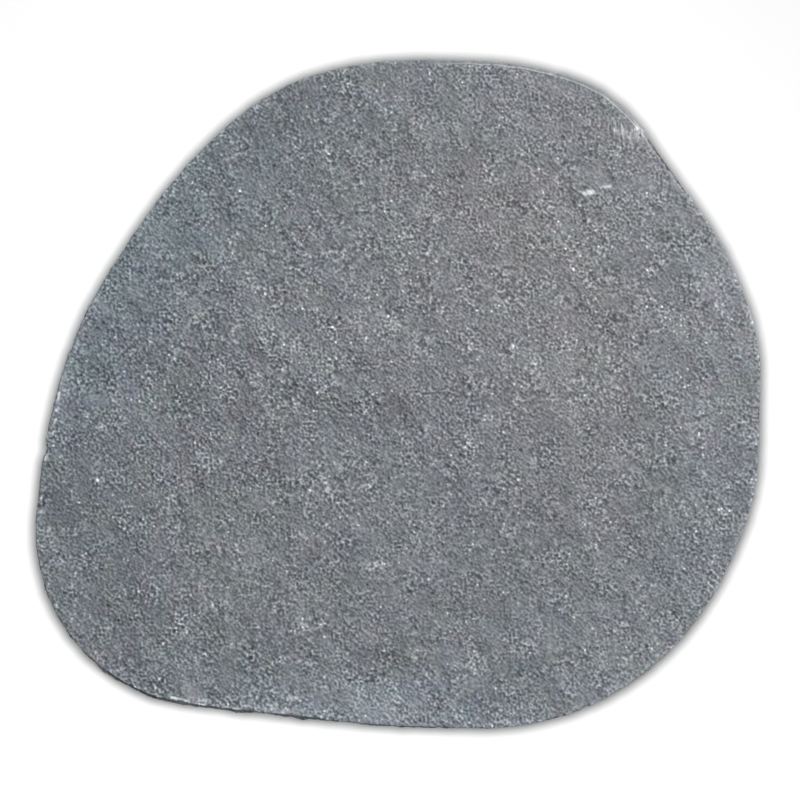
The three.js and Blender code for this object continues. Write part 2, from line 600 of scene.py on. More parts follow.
@dataclass(frozen=True)
class ArrisWearAndHighlight:
    """A stretch of the upper arris painted pale, with its bearing and reach in degrees: a painted highlight
    where it faces the key lamp, rubbed wear elsewhere.
    """

    bearing: float
    reach: float
    tone: float

    def tones(self, points: Points) -> Values:
        """How much paler it makes the arris at each point's bearing."""
        bearings = np.degrees(PackedSlab.bearing_of(points))
        return self.tone * near_bearing(bearings, self.bearing, self.reach)


@dataclass(frozen=True)
class Layer:
    """One layer of noise in the relief: how wide its bumps are and how high, in millimetres."""

    size: float
    rise: float
    seed: int

    def heights(self, points: Points) -> Values:
        """Height of the layer at each point, in metres."""
        return gradient_noise(points, self.size * MM, self.seed) * self.rise * MM


@dataclass(frozen=True)
class Chip:
    """A flake knocked off the upper or the lower edge.

    Its bearing and its slope above the horizon are in degrees, its sizes in millimetres.
    """

    bearing: float
    width: float
    depth: float
    slope: float
    upper: bool = True


@dataclass(frozen=True)
class ChipKind:
    """How many chips of a kind there are, and how wide and deep they may be, in millimetres."""

    count: int
    width: tuple[float, float]
    depth: tuple[float, float]
    upper: bool

    def draw(self, rng: np.random.Generator, slopes: tuple[float, float]) -> Chip:
        """A chip of this kind, somewhere round the slab."""
        slope = rng.uniform(*slopes) * (1 if self.upper else -1)
        bearing = rng.uniform(0, 360)
        return Chip(bearing, rng.uniform(*self.width), rng.uniform(*self.depth), slope, self.upper)


@dataclass(frozen=True)
class Scallops:
    """The shells that the splitting hammer left in the side. Sizes are in millimetres."""

    width: float = 20.0
    flattening: float = 0.8
    depth: float = 2.0
    level: float = 0.8
    variety: float = 1.0
    most: float = 0.15
    seed: int = 208
    coarse: Layer = Layer(size=11, rise=0.26, seed=209)
    share_at_arris: float = 0.12
    coarse_at_arris: float = 0.35

    def heights(self, places: Points, below_arris: Values) -> Values:
        """How far the side stands out from the girth.

        Args:
            places: Where it is wanted.
            below_arris: How far each is below the upper arris, from 0 to 1.

        Returns:
            A height for each place, in metres. Hollows are below 0.
        """
        squeezed = places * (1.0, 1.0, self.flattening)
        nearest, owner = cell_noise(squeezed, self.width * MM, self.seed)
        shells = (np.clip(nearest, 0, 1) ** 2 - self.level) * self.depth * MM
        shells = shells - owner * self.variety * MM
        coarse = self.coarse.heights(places)
        coarse = coarse * (self.coarse_at_arris + (1 - self.coarse_at_arris) * below_arris)
        shells = shells * (self.share_at_arris + (1 - self.share_at_arris) * below_arris)
        return np.minimum(shells + coarse, self.most * MM)


@dataclass
class Weather:
    """What years of frost, feet and tools have done to the slab."""

    slab: PackedSlab
    section: EdgeSection
    swells: tuple[Swell, ...] = (
        Swell(at=(66, 14), spread=(42, 6), turn=-56, rise=0.32),
        Swell(at=(112, -30), spread=(24, 7), turn=-48, rise=0.20),
        Swell(at=(-34, -8), spread=(30, 4), turn=2, rise=-0.40),
        Swell(at=(-74, 32), spread=(22, 5), turn=-38, rise=0.30),
        Swell(at=(142, 165), spread=(9, 5), turn=-40, rise=0.35),
        Swell(at=(-150, 12), spread=(36, 7), turn=-60, rise=-0.25),
    )
    rolls: tuple[Layer, ...] = (
        Layer(size=95, rise=0.16, seed=101),
        Layer(size=42, rise=0.30, seed=102),
        Layer(size=20, rise=0.23, seed=103),
    )
    grains: tuple[Layer, ...] = (
        Layer(size=9.5, rise=0.125, seed=104),
        Layer(size=4.8, rise=0.088, seed=105),
        Layer(size=2.9, rise=0.155, seed=106),
    )
    streaks: tuple[Layer, ...] = (
        Layer(size=9.4, rise=0.14, seed=107),
        Layer(size=17, rise=0.17, seed=110),
    )
    streak_turn: float = math.radians(-62.0)
    streak_stretch: float = 3.6
    calm: Patch = Patch(at=(6, -70), spread=(76, 56), turn=0)
    calm_share: float = 0.55
    sink: float = 0.65
    relief_depth: tuple[float, float] = (2.0 * MM, 9.0 * MM)
    notches: tuple[Chip, ...] = (
        Chip(bearing=300.6, width=9.0, depth=1.6, slope=30),
        Chip(bearing=188.0, width=14.0, depth=1.2, slope=22),
        Chip(bearing=53.0, width=20.0, depth=1.0, slope=38),
    )
    chip_seed: int = 21
    chip_kinds: tuple[ChipKind, ...] = (
        ChipKind(count=8, width=(9, 20), depth=(0.4, 0.8), upper=True),
        ChipKind(count=84, width=(2.6, 8), depth=(0.25, 0.6), upper=True),
        ChipKind(count=46, width=(7, 26), depth=(1.3, 3.2), upper=False),
    )
    chip_slopes: tuple[float, float] = (18, 62)
    chip_drop: float = 1.0 * MM  # how far under the top's level the upper chips start
    chip_search: float = 1.2  # points within this many widths of a chip may be cut by it
    fracture: Layer = Layer(size=2.4, rise=0.12, seed=207)
    fresh_depth: float = 0.35 * MM
    scallops: Scallops = Scallops()
    scallop_depth: tuple[float, float] = (1.0 * MM, 9.0 * MM)

    def chips(self) -> list[Chip]:
        """All the chips: the notches listed, and the rest from a seeded draw."""
        rng = np.random.default_rng(self.chip_seed)
        drawn = [kind.draw(rng, self.chip_slopes) for kind in self.chip_kinds for _ in range(kind.count)]
        return [*self.notches, *drawn]

    def knock_off(self, places: Points) -> Values:
        """Cuts the chips out of the shell's points, in place.

        Args:
            places: The shell's points. Those that a chip takes are moved.

        Returns:
            How much of each point's surface is broken stone, from 0 to 1.
        """
        broken = np.zeros(len(places))
        rough = self.fracture.heights(places)
        for chip in self.chips():
            bearing = math.radians(chip.bearing)
            out = np.array([math.cos(bearing), math.sin(bearing), 0.0])
            along = np.array([-out[1], out[0], 0.0])
            at = np.array([bearing])
            inset = self.section.rim_inset(at)[0] if chip.upper else self.section.foot_inset
            corner = out * (self.slab.radius(at)[0] - inset)
            corner[2] = self.slab.thickness - self.chip_drop if chip.upper else 0.0
            slope = math.radians(chip.slope)
            facing = out * math.cos(slope) + np.array([0.0, 0.0, math.sin(slope)])
            reach = self.chip_search * chip.width * MM
            near = np.flatnonzero(np.linalg.norm(places - corner, axis=1) < reach)
            away = places[near] - corner
            across = (away @ along) / (chip.width * MM / 2)
            proud = away @ facing + chip.depth * MM * (1 - across**2) + rough[near]
            cut = (proud > 0) & (np.abs(across) < 1)
            places[near[cut]] -= facing * proud[cut, None]
            fresh = smooth_step(0.0, self.fresh_depth, proud[cut])
            broken[near[cut]] = np.maximum(broken[near[cut]], fresh)
        return broken

    def top_relief(self, places: Points) -> Values:
        """Height of the top's rolls, swells and streaks at each point. They die out down the side."""
        height = sum(layer.heights(places) for layer in self.rolls)
        height = height + sum(swell.share(places) * swell.rise * MM for swell in self.swells)
        along = np.array([math.cos(self.streak_turn), math.sin(self.streak_turn), 0.0])
        squeezed = places - np.outer(places @ along, along) * (1 - 1 / self.streak_stretch)
        streaks = sum(layer.heights(squeezed) for layer in self.streaks)
        height = height + streaks * (1 - self.calm_share * self.calm.share(places)) - self.sink * MM
        return height * (1 - smooth_step(*self.relief_depth, self.slab.thickness - places[:, 2]))

    def grain(self, places: Points) -> Values:
        """Height of the crumbs and pits that cover every face."""
        return sum(layer.heights(places) for layer in self.grains)

    def side_relief(self, places: Points) -> Values:
        """How far the side stands out from the girth, in metres."""
        drop = self.slab.thickness - places[:, 2]
        return self.scallops.heights(places, smooth_step(*self.scallop_depth, drop))


@dataclass
class StainsAndPaintedLight:
    """The stone's patches of tone and hue, its crystal clumps and rim wear, and painted light and shade on
    swells and arris.
    """

    slab: PackedSlab
    stain_and_light_patches: tuple[StainAndLightPatch, ...] = (
        StainAndLightPatch(at=(150, 148), spread=(44, 30), turn=-50, tone=0.04),
        StainAndLightPatch(at=(140.0, 164), spread=(10, 4.6), turn=-16, tone=0.34, polish=0.55, scuff=1.0),
        StainAndLightPatch(at=(150.5, 162), spread=(2.6, 2.2), turn=-40, tone=0.22),
        StainAndLightPatch(at=(205, 70), spread=(52, 16), turn=-78, tone=0.12, polish=0.16),
        StainAndLightPatch(at=(186, -24), spread=(10, 7), turn=-20, tone=0.18, polish=0.25),
        # Painted light and shade on the swells: the patches at (90, 4) and (-72, 30) lie on a ridge's lit
        # flank and on a ridge, and are paler; those at (-30, -8) and (-146, 24) lie in a dip and on a dip's
        # shaded flank, and are darker.
        StainAndLightPatch(at=(90, 4), spread=(34, 16), turn=-60, tone=0.08),
        StainAndLightPatch(at=(-72, 30), spread=(26, 9), turn=-36, tone=0.12),
        StainAndLightPatch(at=(-30, -8), spread=(34, 6), turn=2, tone=-0.14),
        StainAndLightPatch(at=(163, -62), spread=(24, 30), turn=0, tone=-0.03),
        StainAndLightPatch(at=(-196, -62), spread=(40, 24), turn=-64, tone=-0.12),
        StainAndLightPatch(at=(-146, 24), spread=(44, 20), turn=-62, tone=-0.06),
        StainAndLightPatch(at=(-90, 150), spread=(40, 36), turn=-20, tone=-0.06),
        StainAndLightPatch(at=(-46, 186), spread=(40, 22), turn=20, tone=-0.16),
        StainAndLightPatch(at=(-140, -150), spread=(50, 30), turn=-30, tone=0.02),
        StainAndLightPatch(at=(-24, -192), spread=(44, 13), turn=-4, tone=0.30),
        StainAndLightPatch(at=(138, -172), spread=(30, 16), turn=30, tone=0.22),
        StainAndLightPatch(at=(44, 146), spread=(36, 18), turn=0, tone=-0.08),
        StainAndLightPatch(at=(14, 42), spread=(44, 30), turn=0, tone=0.055, warmth=0.22),
        StainAndLightPatch(at=(200, -90), spread=(34, 14), turn=70, tone=0.08),
        StainAndLightPatch(at=(-127, -185), spread=(6, 4), turn=-20, tone=0.28, polish=0.8),
        StainAndLightPatch(at=(-150, -185), spread=(26, 2), turn=-20, tone=0.20),
        StainAndLightPatch(at=(-180, -169), spread=(14, 2.4), turn=-38, tone=0.12, sparkle=0.35),
        StainAndLightPatch(at=(-130, -190.5), spread=(10, 1.5), turn=-6, tone=0.42),
        StainAndLightPatch(at=(-132, -144), spread=(8, 5), turn=0, sparkle=0.4),
        StainAndLightPatch(at=(-210, -12), spread=(24, 4), turn=79, tone=0.18, sparkle=0.10),
        StainAndLightPatch(at=(-104, -193), spread=(22, 2), turn=-8, tone=0.32),
        StainAndLightPatch(at=(-44, -199), spread=(40, 3), turn=-4, tone=0.16),
        StainAndLightPatch(at=(92, 193), spread=(22, 1.8), turn=-22, tone=0.20),
        StainAndLightPatch(at=(127, 132.5), spread=(4, 4), turn=0, tone=0.02, polish=0.5),
        StainAndLightPatch(at=(109, 157), spread=(1.8, 1.4), turn=0, tone=0.45),
        StainAndLightPatch(at=(-166, -64), spread=(10, 13), turn=20, sparkle=0.3),
        StainAndLightPatch(at=(22, 90), spread=(7, 6), turn=0, sparkle=0.15),
        StainAndLightPatch(at=(172, 48), spread=(10, 8), turn=0, tone=0.06, sparkle=0.15),
        StainAndLightPatch(at=(-60, 60), spread=(40, 10), turn=-36, sparkle=0.05),
        StainAndLightPatch(at=(-82, 2), spread=(46, 40), turn=0, polish=-0.16),
        StainAndLightPatch(at=(40, -150), spread=(60, 44), turn=0, polish=0.08),
        StainAndLightPatch(at=(60, 190), spread=(90, 30), turn=0, polish=0.08),
        StainAndLightPatch(at=(-182, 68), spread=(66, 38), turn=58, warmth=-1.20),
        StainAndLightPatch(at=(-200, -30), spread=(46, 26), turn=84, warmth=-0.52),
        StainAndLightPatch(at=(-190, -110), spread=(30, 30), turn=0, warmth=-0.35),
        StainAndLightPatch(at=(-104, 146), spread=(50, 30), turn=30, warmth=-0.55),
        StainAndLightPatch(at=(-20, -198), spread=(120, 18), turn=-2, warmth=-1.0),
        StainAndLightPatch(at=(180, -130), spread=(60, 20), turn=54, warmth=-0.22),
        StainAndLightPatch(at=(192, -46), spread=(18, 8), turn=10, tone=-0.04, warmth=-0.40),
        StainAndLightPatch(at=(190, -94), spread=(18, 9), turn=30, tone=-0.02, warmth=-0.40),
        StainAndLightPatch(at=(90, -136), spread=(24, 6), turn=8, warmth=-0.45),
        StainAndLightPatch(at=(96, -152), spread=(12, 5), turn=10, tone=0.10),
        StainAndLightPatch(at=(80, -168), spread=(8, 5), turn=20, tone=-0.14, warmth=-0.30),
        StainAndLightPatch(at=(64, 112), spread=(46, 32), turn=-20, warmth=0.8),
        StainAndLightPatch(at=(116, 10), spread=(34, 56), turn=-8, warmth=0.64),
        StainAndLightPatch(at=(120, 170), spread=(50, 18), turn=-30, warmth=0.35),
        StainAndLightPatch(at=(-183, -4), spread=(8, 3), turn=-12, tone=0.20, warmth=-0.30, polish=0.30),
        StainAndLightPatch(at=(168, -134), spread=(5, 3), turn=-40, tone=-0.14),
        StainAndLightPatch(at=(165, -152), spread=(5, 3), turn=-40, tone=-0.14),
        StainAndLightPatch(at=(-140, -150), spread=(40, 16), turn=-20, warmth=-0.28),
        StainAndLightPatch(at=(34, -201), spread=(28, 5), turn=0, tone=0.12),
        StainAndLightPatch(at=(-100, 140), spread=(76, 56), turn=30, verdure=0.30),
        StainAndLightPatch(at=(50, 30), spread=(120, 84), turn=-20, verdure=-0.12),
        StainAndLightPatch(at=(-170, 40), spread=(60, 90), turn=-20, mottle=1.0),
        StainAndLightPatch(at=(-90, 160), spread=(60, 40), turn=20, mottle=0.6),
        StainAndLightPatch(at=(-190, -110), spread=(50, 50), turn=0, mottle=0.5),
        StainAndLightPatch(at=(20, -190), spread=(150, 26), turn=0, mottle=0.8),
        StainAndLightPatch(at=(214, 20), spread=(16, 90), turn=0, mottle=0.8),
        StainAndLightPatch(at=(50, 196), spread=(70, 14), turn=0, mottle=0.4),
    )
    clump_count: int = 14
    clump_reach: tuple[float, float] = (200, 185)
    clump: StainAndLightPatch = StainAndLightPatch(at=(0, 0), spread=(3.2, 2.8), turn=0, tone=0.26, sparkle=0.30)
    clump_size: tuple[float, float] = (0.7, 1.2)
    clump_seed: int = 31
    arris_wear_and_highlights: tuple[ArrisWearAndHighlight, ...] = (
        # The stretches at 50 and 70 degrees face the key lamp, and their pale line is a painted highlight;
        # the rest are rubbed pale.
        ArrisWearAndHighlight(bearing=50, reach=8, tone=0.55),
        ArrisWearAndHighlight(bearing=70, reach=10, tone=0.75),
        ArrisWearAndHighlight(bearing=179, reach=8, tone=0.20),
        ArrisWearAndHighlight(bearing=222, reach=7, tone=0.20),
        ArrisWearAndHighlight(bearing=246, reach=8, tone=0.24),
        ArrisWearAndHighlight(bearing=272, reach=7, tone=0.22),
        ArrisWearAndHighlight(bearing=306, reach=7, tone=0.16),
    )

    bruise_depth: tuple[float, float] = (6.0 * MM, 2.6 * MM)
    bruise_tone: float = 0.06
    bruise_variety: float = 0.08
    bruise_most: float = 0.25
    bruise_size: float = 14.0 * MM
    bruise_seed: int = 301
    crest_depth: tuple[float, float] = (1.9 * MM, 0.7 * MM)
    crest_tone: float = 0.14

    def clumped(self) -> list[StainAndLightPatch]:
        """The small clumps of pale crystals, scattered at random, each of its own size."""
        rng = np.random.default_rng(self.clump_seed)
        long, wide = self.clump.spread
        far_x, far_y = self.clump_reach
        clumps = []
        for _ in range(self.clump_count):
            bearing = rng.uniform(0.0, FULL_TURN)
            away = math.sqrt(rng.uniform())
            at = (far_x * away * math.cos(bearing), far_y * away * math.sin(bearing))
            size = rng.uniform(*self.clump_size)
            turn = rng.uniform(0.0, HALF_TURN_DEGREES)
            clumps.append(replace(self.clump, at=at, spread=(long * size, wide * size), turn=turn))
        return clumps

    def total(self, effect: str, places: Points) -> Values:
        """How strong one of the patches' effects, such as their tone with its painted light and shade, is
        at each point.
        """
        every = [*self.stain_and_light_patches, *self.clumped()]
        return sum(each_patch.share(places) * getattr(each_patch, effect) for each_patch in every)

    def rim_wear(self, places: Points) -> Values:
        """How bruised, and so how much paler, the top is close to its edge."""
        depth = self.slab.depth_inside(places)
        patchy = self.bruise_variety * gradient_noise(places, self.bruise_size, self.bruise_seed)
        bruised = np.clip(self.bruise_tone + patchy, 0.0, self.bruise_most)
        crest = self.crest_tone * smooth_step(*self.crest_depth, depth)
        return smooth_step(*self.bruise_depth, depth) * bruised + crest

    def arris(self, places: Points) -> Values:
        """How pale the line along the upper arris is at each point's bearing: a painted highlight where it
        faces the key lamp, rubbed wear elsewhere.
        """
        return sum(arris.tones(places) for arris in self.arris_wear_and_highlights)


# ---------------------------------------------------------------------------------------------
# Shader nodes
# ---------------------------------------------------------------------------------------------


class Wiring:
    """Adds nodes to a node tree and joins them."""

    def __init__(self, tree: bpy.types.NodeTree) -> None:
        """Starts on a tree.

        Args:
            tree: Where the nodes go.
        """
        self.tree = tree

    def add(self, kind: str, **settings: object) -> bpy.types.Node:
        """Adds a node and sets its own settings."""
        node = self.tree.nodes.new(kind)
        for name, value in settings.items():
            setattr(node, name, value)
        return node

    def feed(self, socket: Socket, value: Socket | float | tuple) -> None:
        """Joins another socket to this one, or sets this one to a value."""
        if isinstance(value, bpy.types.NodeSocket):
            self.tree.links.new(value, socket)
        else:
            socket.default_value = value

    def _worked_out(self, kind: str, operation: str, values: tuple) -> bpy.types.NodeOutputs:
        """The outputs of a new node that works something out from its first inputs."""
        node = self.add(kind, operation=operation)
        for socket, value in zip(node.inputs, values):
            self.feed(socket, value)
        return node.outputs

    def calculate(self, operation: str, *values: Socket | float) -> Socket:
        """The result of a Math node."""
        return self._worked_out("ShaderNodeMath", operation, values)[0]

    def vector(self, operation: str, *values: Socket | tuple) -> Socket:
        """The vector result of a Vector Math node."""
        return self._worked_out("ShaderNodeVectorMath", operation, values)["Vector"]

    def measure(self, operation: str, *values: Socket | tuple) -> Socket:
        """The number that a Vector Math node gives: a distance or a dot product."""
        return self._worked_out("ShaderNodeVectorMath", operation, values)["Value"]

    def scaled(self, vector: Socket | tuple, scale: Socket | float) -> Socket:
        """A vector or a colour made longer or brighter."""
        node = self.add("ShaderNodeVectorMath", operation="SCALE")
        self.feed(node.inputs[0], vector)
        self.feed(node.inputs["Scale"], scale)
        return node.outputs["Vector"]

    def turned(self, vector: Socket, angle: Socket | float) -> Socket:
        """A vector turned about the upright axis."""
        node = self.add("ShaderNodeVectorRotate", rotation_type="Z_AXIS")
        self.feed(node.inputs["Vector"], vector)
        self.feed(node.inputs["Angle"], angle)
        return node.outputs[0]

    def total(self, *values: Socket | float) -> Socket:
        """The sum of several values."""
        result = values[0]
        for value in values[1:]:
            result = self.calculate("ADD", result, value)
        return result

    def product(self, *values: Socket | float) -> Socket:
        """The product of several values."""
        result = values[0]
        for value in values[1:]:
            result = self.calculate("MULTIPLY", result, value)
        return result

    def between(
        self, value: Socket, low: Socket | float, high: Socket | float, way: str = "SMOOTHSTEP"
    ) -> Socket:
        """Rises from 0 where the value is low to 1 where it is high, smoothly or evenly."""
        node = self.add("ShaderNodeMapRange", interpolation_type=way)
        for name, given in (("Value", value), ("From Min", low), ("From Max", high)):
            self.feed(node.inputs[name], given)
        return node.outputs["Result"]

    def noise(self, place: Socket, size: Socket | float, **inputs: Socket | float) -> Socket:
        """Signed noise with a standard deviation of about 1.

        Args:
            place: Where it is read, in millimetres.
            size: How wide its bumps are, in millimetres.
            **inputs: The noise's Detail, Distortion and W.

        Returns:
            The noise's value.
        """
        dimensions = "4D" if "W" in inputs else "3D"
        node = self.add("ShaderNodeTexNoise", normalize=False, noise_dimensions=dimensions)
        self.feed(node.inputs["Vector"], place)
        self.feed(node.inputs["Scale"], self.calculate("DIVIDE", 1.0, size))
        self.feed(node.inputs["Detail"], 0.0)
        for name, value in inputs.items():
            self.feed(node.inputs[name], value)
        return self.calculate("MULTIPLY", node.outputs["Fac"], NOISE_GAIN)

    def tint(
        self, share: Socket, first: Socket | tuple, second: Socket | tuple, blend: str = "MIX"
    ) -> Socket:
        """A colour on the way from one to another, or to the two multiplied.

        Args:
            share: How far along the way, from 0 to 1.
            first: The colour at 0.
            second: The colour at 1, or what the first is multiplied by there.
            blend: MIX or MULTIPLY.

        Returns:
            The colour.
        """
        node = self.add("ShaderNodeMix", data_type="RGBA", blend_type=blend)
        self.feed(node.inputs["Factor"], share)
        self.feed(node.inputs[COLOUR_A], first)
        self.feed(node.inputs[COLOUR_B], second)
        return node.outputs[COLOUR_RESULT]


class ShaderGroup:
    """A node group that is built once and placed wherever it is wanted, with its own values."""

    name = ""
    inputs: tuple[tuple[str, str, object], ...] = ()  # name, socket type and default value
    outputs: tuple[tuple[str, str], ...] = ()

    def tree(self) -> bpy.types.NodeTree:
        """The group's node tree, built the first time it is asked for."""
        found = bpy.data.node_groups.get(self.name)
        if found:
            return found
        tree = bpy.data.node_groups.new(self.name, "ShaderNodeTree")
        for name, kind, default in self.inputs:
            socket = tree.interface.new_socket(name=name, in_out="INPUT", socket_type=kind)
            if default is not None:
                socket.default_value = default
        for name, kind in self.outputs:
            tree.interface.new_socket(name=name, in_out="OUTPUT", socket_type=kind)
        wiring = Wiring(tree)
        given = wiring.add("NodeGroupInput").outputs
        for socket, value in zip(wiring.add("NodeGroupOutput").inputs, self.wire(wiring, given)):
            wiring.feed(socket, value)
        return tree

    def wire(self, wiring: Wiring, given: bpy.types.NodeOutputs) -> tuple[Socket, ...]:
        """Builds the inside of the group.

        Args:
            wiring: The group's wiring.
            given: The values given to the group.

        Returns:
            A socket for each output, in order.
        """
        raise NotImplementedError

    def place(self, wiring: Wiring, **values: Socket | float | tuple) -> bpy.types.NodeOutputs:
        """Places the group in a tree.

        Args:
            wiring: The tree's wiring.
            **values: The group's inputs by name, with _ for each space.

        Returns:
            The placed group's outputs.
        """
        node = wiring.add("ShaderNodeGroup", node_tree=self.tree())
        for name, value in values.items():
            wiring.feed(node.inputs[name.replace("_", " ")], value)
        return node.outputs


FLOAT, VECTOR, COLOUR = "NodeSocketFloat", "NodeSocketVector", "NodeSocketColor"


class CrumbGrain(ShaderGroup):
    """Crumbs and pits of several sizes, with their tone and their height."""

    name = "crumb_grain"
    inputs = (
        ("Place", VECTOR, None),
        ("Size", FLOAT, 2.0),
        ("Angle", FLOAT, 0.0),
        ("Contrast", FLOAT, 0.2),
        ("Rise", FLOAT, 0.1),
    )
    outputs = (("Tone", FLOAT), ("Height", FLOAT))

    STRETCH = (0.96, 1.0, 1.0)
    MIDDLE_SIZE, MIDDLE_SHARE = 5.4, 0.068
    BROAD_SIZE, BROAD_SHARE = 16.5, 0.132
    PATCH_SIZE, PATCHINESS = 7.0, 0.28

    def wire(self, wiring: Wiring, given: bpy.types.NodeOutputs) -> tuple[Socket, ...]:
        """Fine noise, stronger in some patches than in others, over two weak and wider layers."""
        place, size = given["Place"], given["Size"]
        drawn = wiring.vector("MULTIPLY", wiring.turned(place, given["Angle"]), self.STRETCH)
        fine = wiring.noise(drawn, size)
        middle = wiring.noise(place, wiring.product(size, self.MIDDLE_SIZE))
        broad = wiring.noise(place, wiring.product(size, self.BROAD_SIZE))
        patchy = wiring.noise(place, wiring.product(size, self.PATCH_SIZE))
        strength = wiring.calculate("MULTIPLY_ADD", patchy, self.PATCHINESS, 1.0)
        sum_of = wiring.total(
            wiring.product(fine, strength),
            wiring.product(middle, self.MIDDLE_SHARE),
            wiring.product(broad, self.BROAD_SHARE),
        )
        # The fine noise both raises the grain and makes it paler, so its hollows are darker: partly dirt,
        # partly painted shade.
        return wiring.product(sum_of, given["Contrast"]), wiring.product(fine, given["Rise"])


class ScatteredSpots(ShaderGroup):
    """Small round spots in loose clusters: crystals, pits or crumbs."""

    name = "scattered_spots"
    inputs = (
        ("Place", VECTOR, None),
        ("Spacing", FLOAT, 3.0),
        ("Share", FLOAT, 0.1),
        ("Radius", FLOAT, 0.3),
        ("Clumping", FLOAT, 0.5),
    )
    outputs = (("Spot", FLOAT),)

    CLUSTER_SIZE = 7.0  # in spacings
    LEAST_SIZE, SIZE_RANGE = 0.7, 0.6
    CORE = 0.45  # the share of a spot's radius over which it is whole

    def wire(self, wiring: Wiring, given: bpy.types.NodeOutputs) -> tuple[Socket, ...]:
        """Chooses some cells of a scatter, more of them inside the clusters."""
        cells = wiring.add("ShaderNodeTexVoronoi")
        wiring.feed(cells.inputs["Vector"], given["Place"])
        wiring.feed(cells.inputs["Scale"], wiring.calculate("DIVIDE", 1.0, given["Spacing"]))
        split = wiring.add("ShaderNodeSeparateColor")
        wiring.feed(split.inputs[0], cells.outputs["Color"])
        cluster = wiring.noise(given["Place"], wiring.product(given["Spacing"], self.CLUSTER_SIZE))
        crowd = wiring.calculate("MULTIPLY_ADD", cluster, given["Clumping"], 1.0)
        share = wiring.product(wiring.calculate("MAXIMUM", crowd, 0.0), given["Share"])
        chosen = wiring.calculate("LESS_THAN", split.outputs[0], share)
        size = wiring.calculate("MULTIPLY_ADD", split.outputs[1], self.SIZE_RANGE, self.LEAST_SIZE)
        radius = wiring.product(given["Radius"], size)
        inner = wiring.product(radius, self.CORE)
        spot = wiring.between(cells.outputs["Distance"], radius, inner)
        return (wiring.product(chosen, spot),)


class GreyMottle(ShaderGroup):
    """The stone's greys: bluish-violet and greenish ones in soft patches, and warmer ones."""

    name = "grey_mottle"
    inputs = (
        ("Place", VECTOR, None),
        ("Size", FLOAT, 10.0),
        ("Warmth", FLOAT, 0.0),
        ("Variety", FLOAT, 0.0),
        ("Verdure", FLOAT, 0.0),
        ("Violet", COLOUR, (0.2, 0.2, 0.2, 1.0)),
        ("Green", COLOUR, (0.2, 0.2, 0.2, 1.0)),
        ("Blue", COLOUR, (1.0, 1.0, 1.0, 1.0)),
        ("Warm", COLOUR, (1.0, 1.0, 1.0, 1.0)),
    )
    outputs = (("Color", COLOUR),)

    MOST_VARIETY = 1.2
    LARGE_SIZE, DRIFT_SIZE = 2.8, 1.9
    SMALL_DETAIL, DRIFT_DETAIL = 1.6, 2.0
    REACH, REACH_LOSS = 5.4, 2.4  # the noise's way from all violet to all green, and how it shrinks
    DRIFT, VARIED_DRIFT = 0.12, 0.09
    FULL_WARMTH = 1.15

    def wire(self, wiring: Wiring, given: bpy.types.NodeOutputs) -> tuple[Socket, ...]:
        """Goes from violet to green by noise and by verdure, and then to blue or warm."""
        place, size = given["Place"], given["Size"]
        varied = wiring.calculate("MINIMUM", given["Variety"], self.MOST_VARIETY)
        small = wiring.noise(place, size, Detail=self.SMALL_DETAIL)
        large = wiring.noise(place, wiring.product(size, self.LARGE_SIZE))
        shrunk = wiring.calculate("MULTIPLY_ADD", varied, self.REACH_LOSS, 1.0)
        reach = wiring.calculate("DIVIDE", self.REACH, shrunk)
        green = wiring.between(wiring.total(small, large), wiring.product(reach, -1.0), reach)
        green = wiring.total(green, given["Verdure"])
        mixed = wiring.tint(green, given["Violet"], given["Green"])
        drift = wiring.noise(place, wiring.product(size, self.DRIFT_SIZE), Detail=self.DRIFT_DETAIL)
        strength = wiring.calculate("MULTIPLY_ADD", varied, self.VARIED_DRIFT, self.DRIFT)
        warmth = wiring.total(wiring.product(drift, strength), given["Warmth"])
        cooler = wiring.between(warmth, 0.0, -self.FULL_WARMTH, "LINEAR")
        warmer = wiring.between(warmth, 0.0, self.FULL_WARMTH, "LINEAR")
        mixed = wiring.tint(cooler, mixed, given["Blue"], "MULTIPLY")
        return (wiring.tint(warmer, mixed, given["Warm"], "MULTIPLY"),)


class BeddingLines(ShaderGroup):
    """Fine level lines where the stone's beds come out at its side."""

    name = "bedding_lines"
    inputs = (
        ("Place", VECTOR, None),
        ("Pitch", FLOAT, 3.0),
        ("Contrast", FLOAT, 0.1),
        ("Rise", FLOAT, 0.1),
    )
    outputs = (("Tone", FLOAT), ("Height", FLOAT))

    STRETCH = (0.09, 0.09, 1.0)
    DETAIL, DISTORTION = 2.0, 0.2

    def wire(self, wiring: Wiring, given: bpy.types.NodeOutputs) -> tuple[Socket, ...]:
        """Noise that is drawn out along the bed, and squeezed across it."""
        flat = wiring.vector("MULTIPLY", given["Place"], self.STRETCH)
        lines = wiring.noise(flat, given["Pitch"], Detail=self.DETAIL, Distortion=self.DISTORTION)
        return wiring.product(lines, given["Contrast"]), wiring.product(lines, given["Rise"])


class StraightMarks(ShaderGroup):
    """Shallow straight lines side by side, as a frame saw or a dragged edge leaves them."""

    name = "straight_marks"
    inputs = (
        ("Place", VECTOR, None),
        ("Angle", FLOAT, 0.0),
        ("Shortness", FLOAT, 0.012),
        ("Pitch", FLOAT, 4.0),
        ("Contrast", FLOAT, 0.1),
        ("Rise", FLOAT, 0.1),
    )
    outputs = (("Tone", FLOAT), ("Height", FLOAT))

    DETAIL = 2.0

    def wire(self, wiring: Wiring, given: bpy.types.NodeOutputs) -> tuple[Socket, ...]:
        """Noise that is drawn out along the stroke."""
        squeeze = wiring.add("ShaderNodeCombineXYZ")
        for socket, value in zip(squeeze.inputs, (given["Shortness"], 1.0, 1.0)):
            wiring.feed(socket, value)
        turned = wiring.turned(given["Place"], given["Angle"])
        drawn = wiring.vector("MULTIPLY", turned, squeeze.outputs[0])
        lines = wiring.noise(drawn, given["Pitch"], Detail=self.DETAIL)
        return wiring.product(lines, given["Contrast"]), wiring.product(lines, given["Rise"])


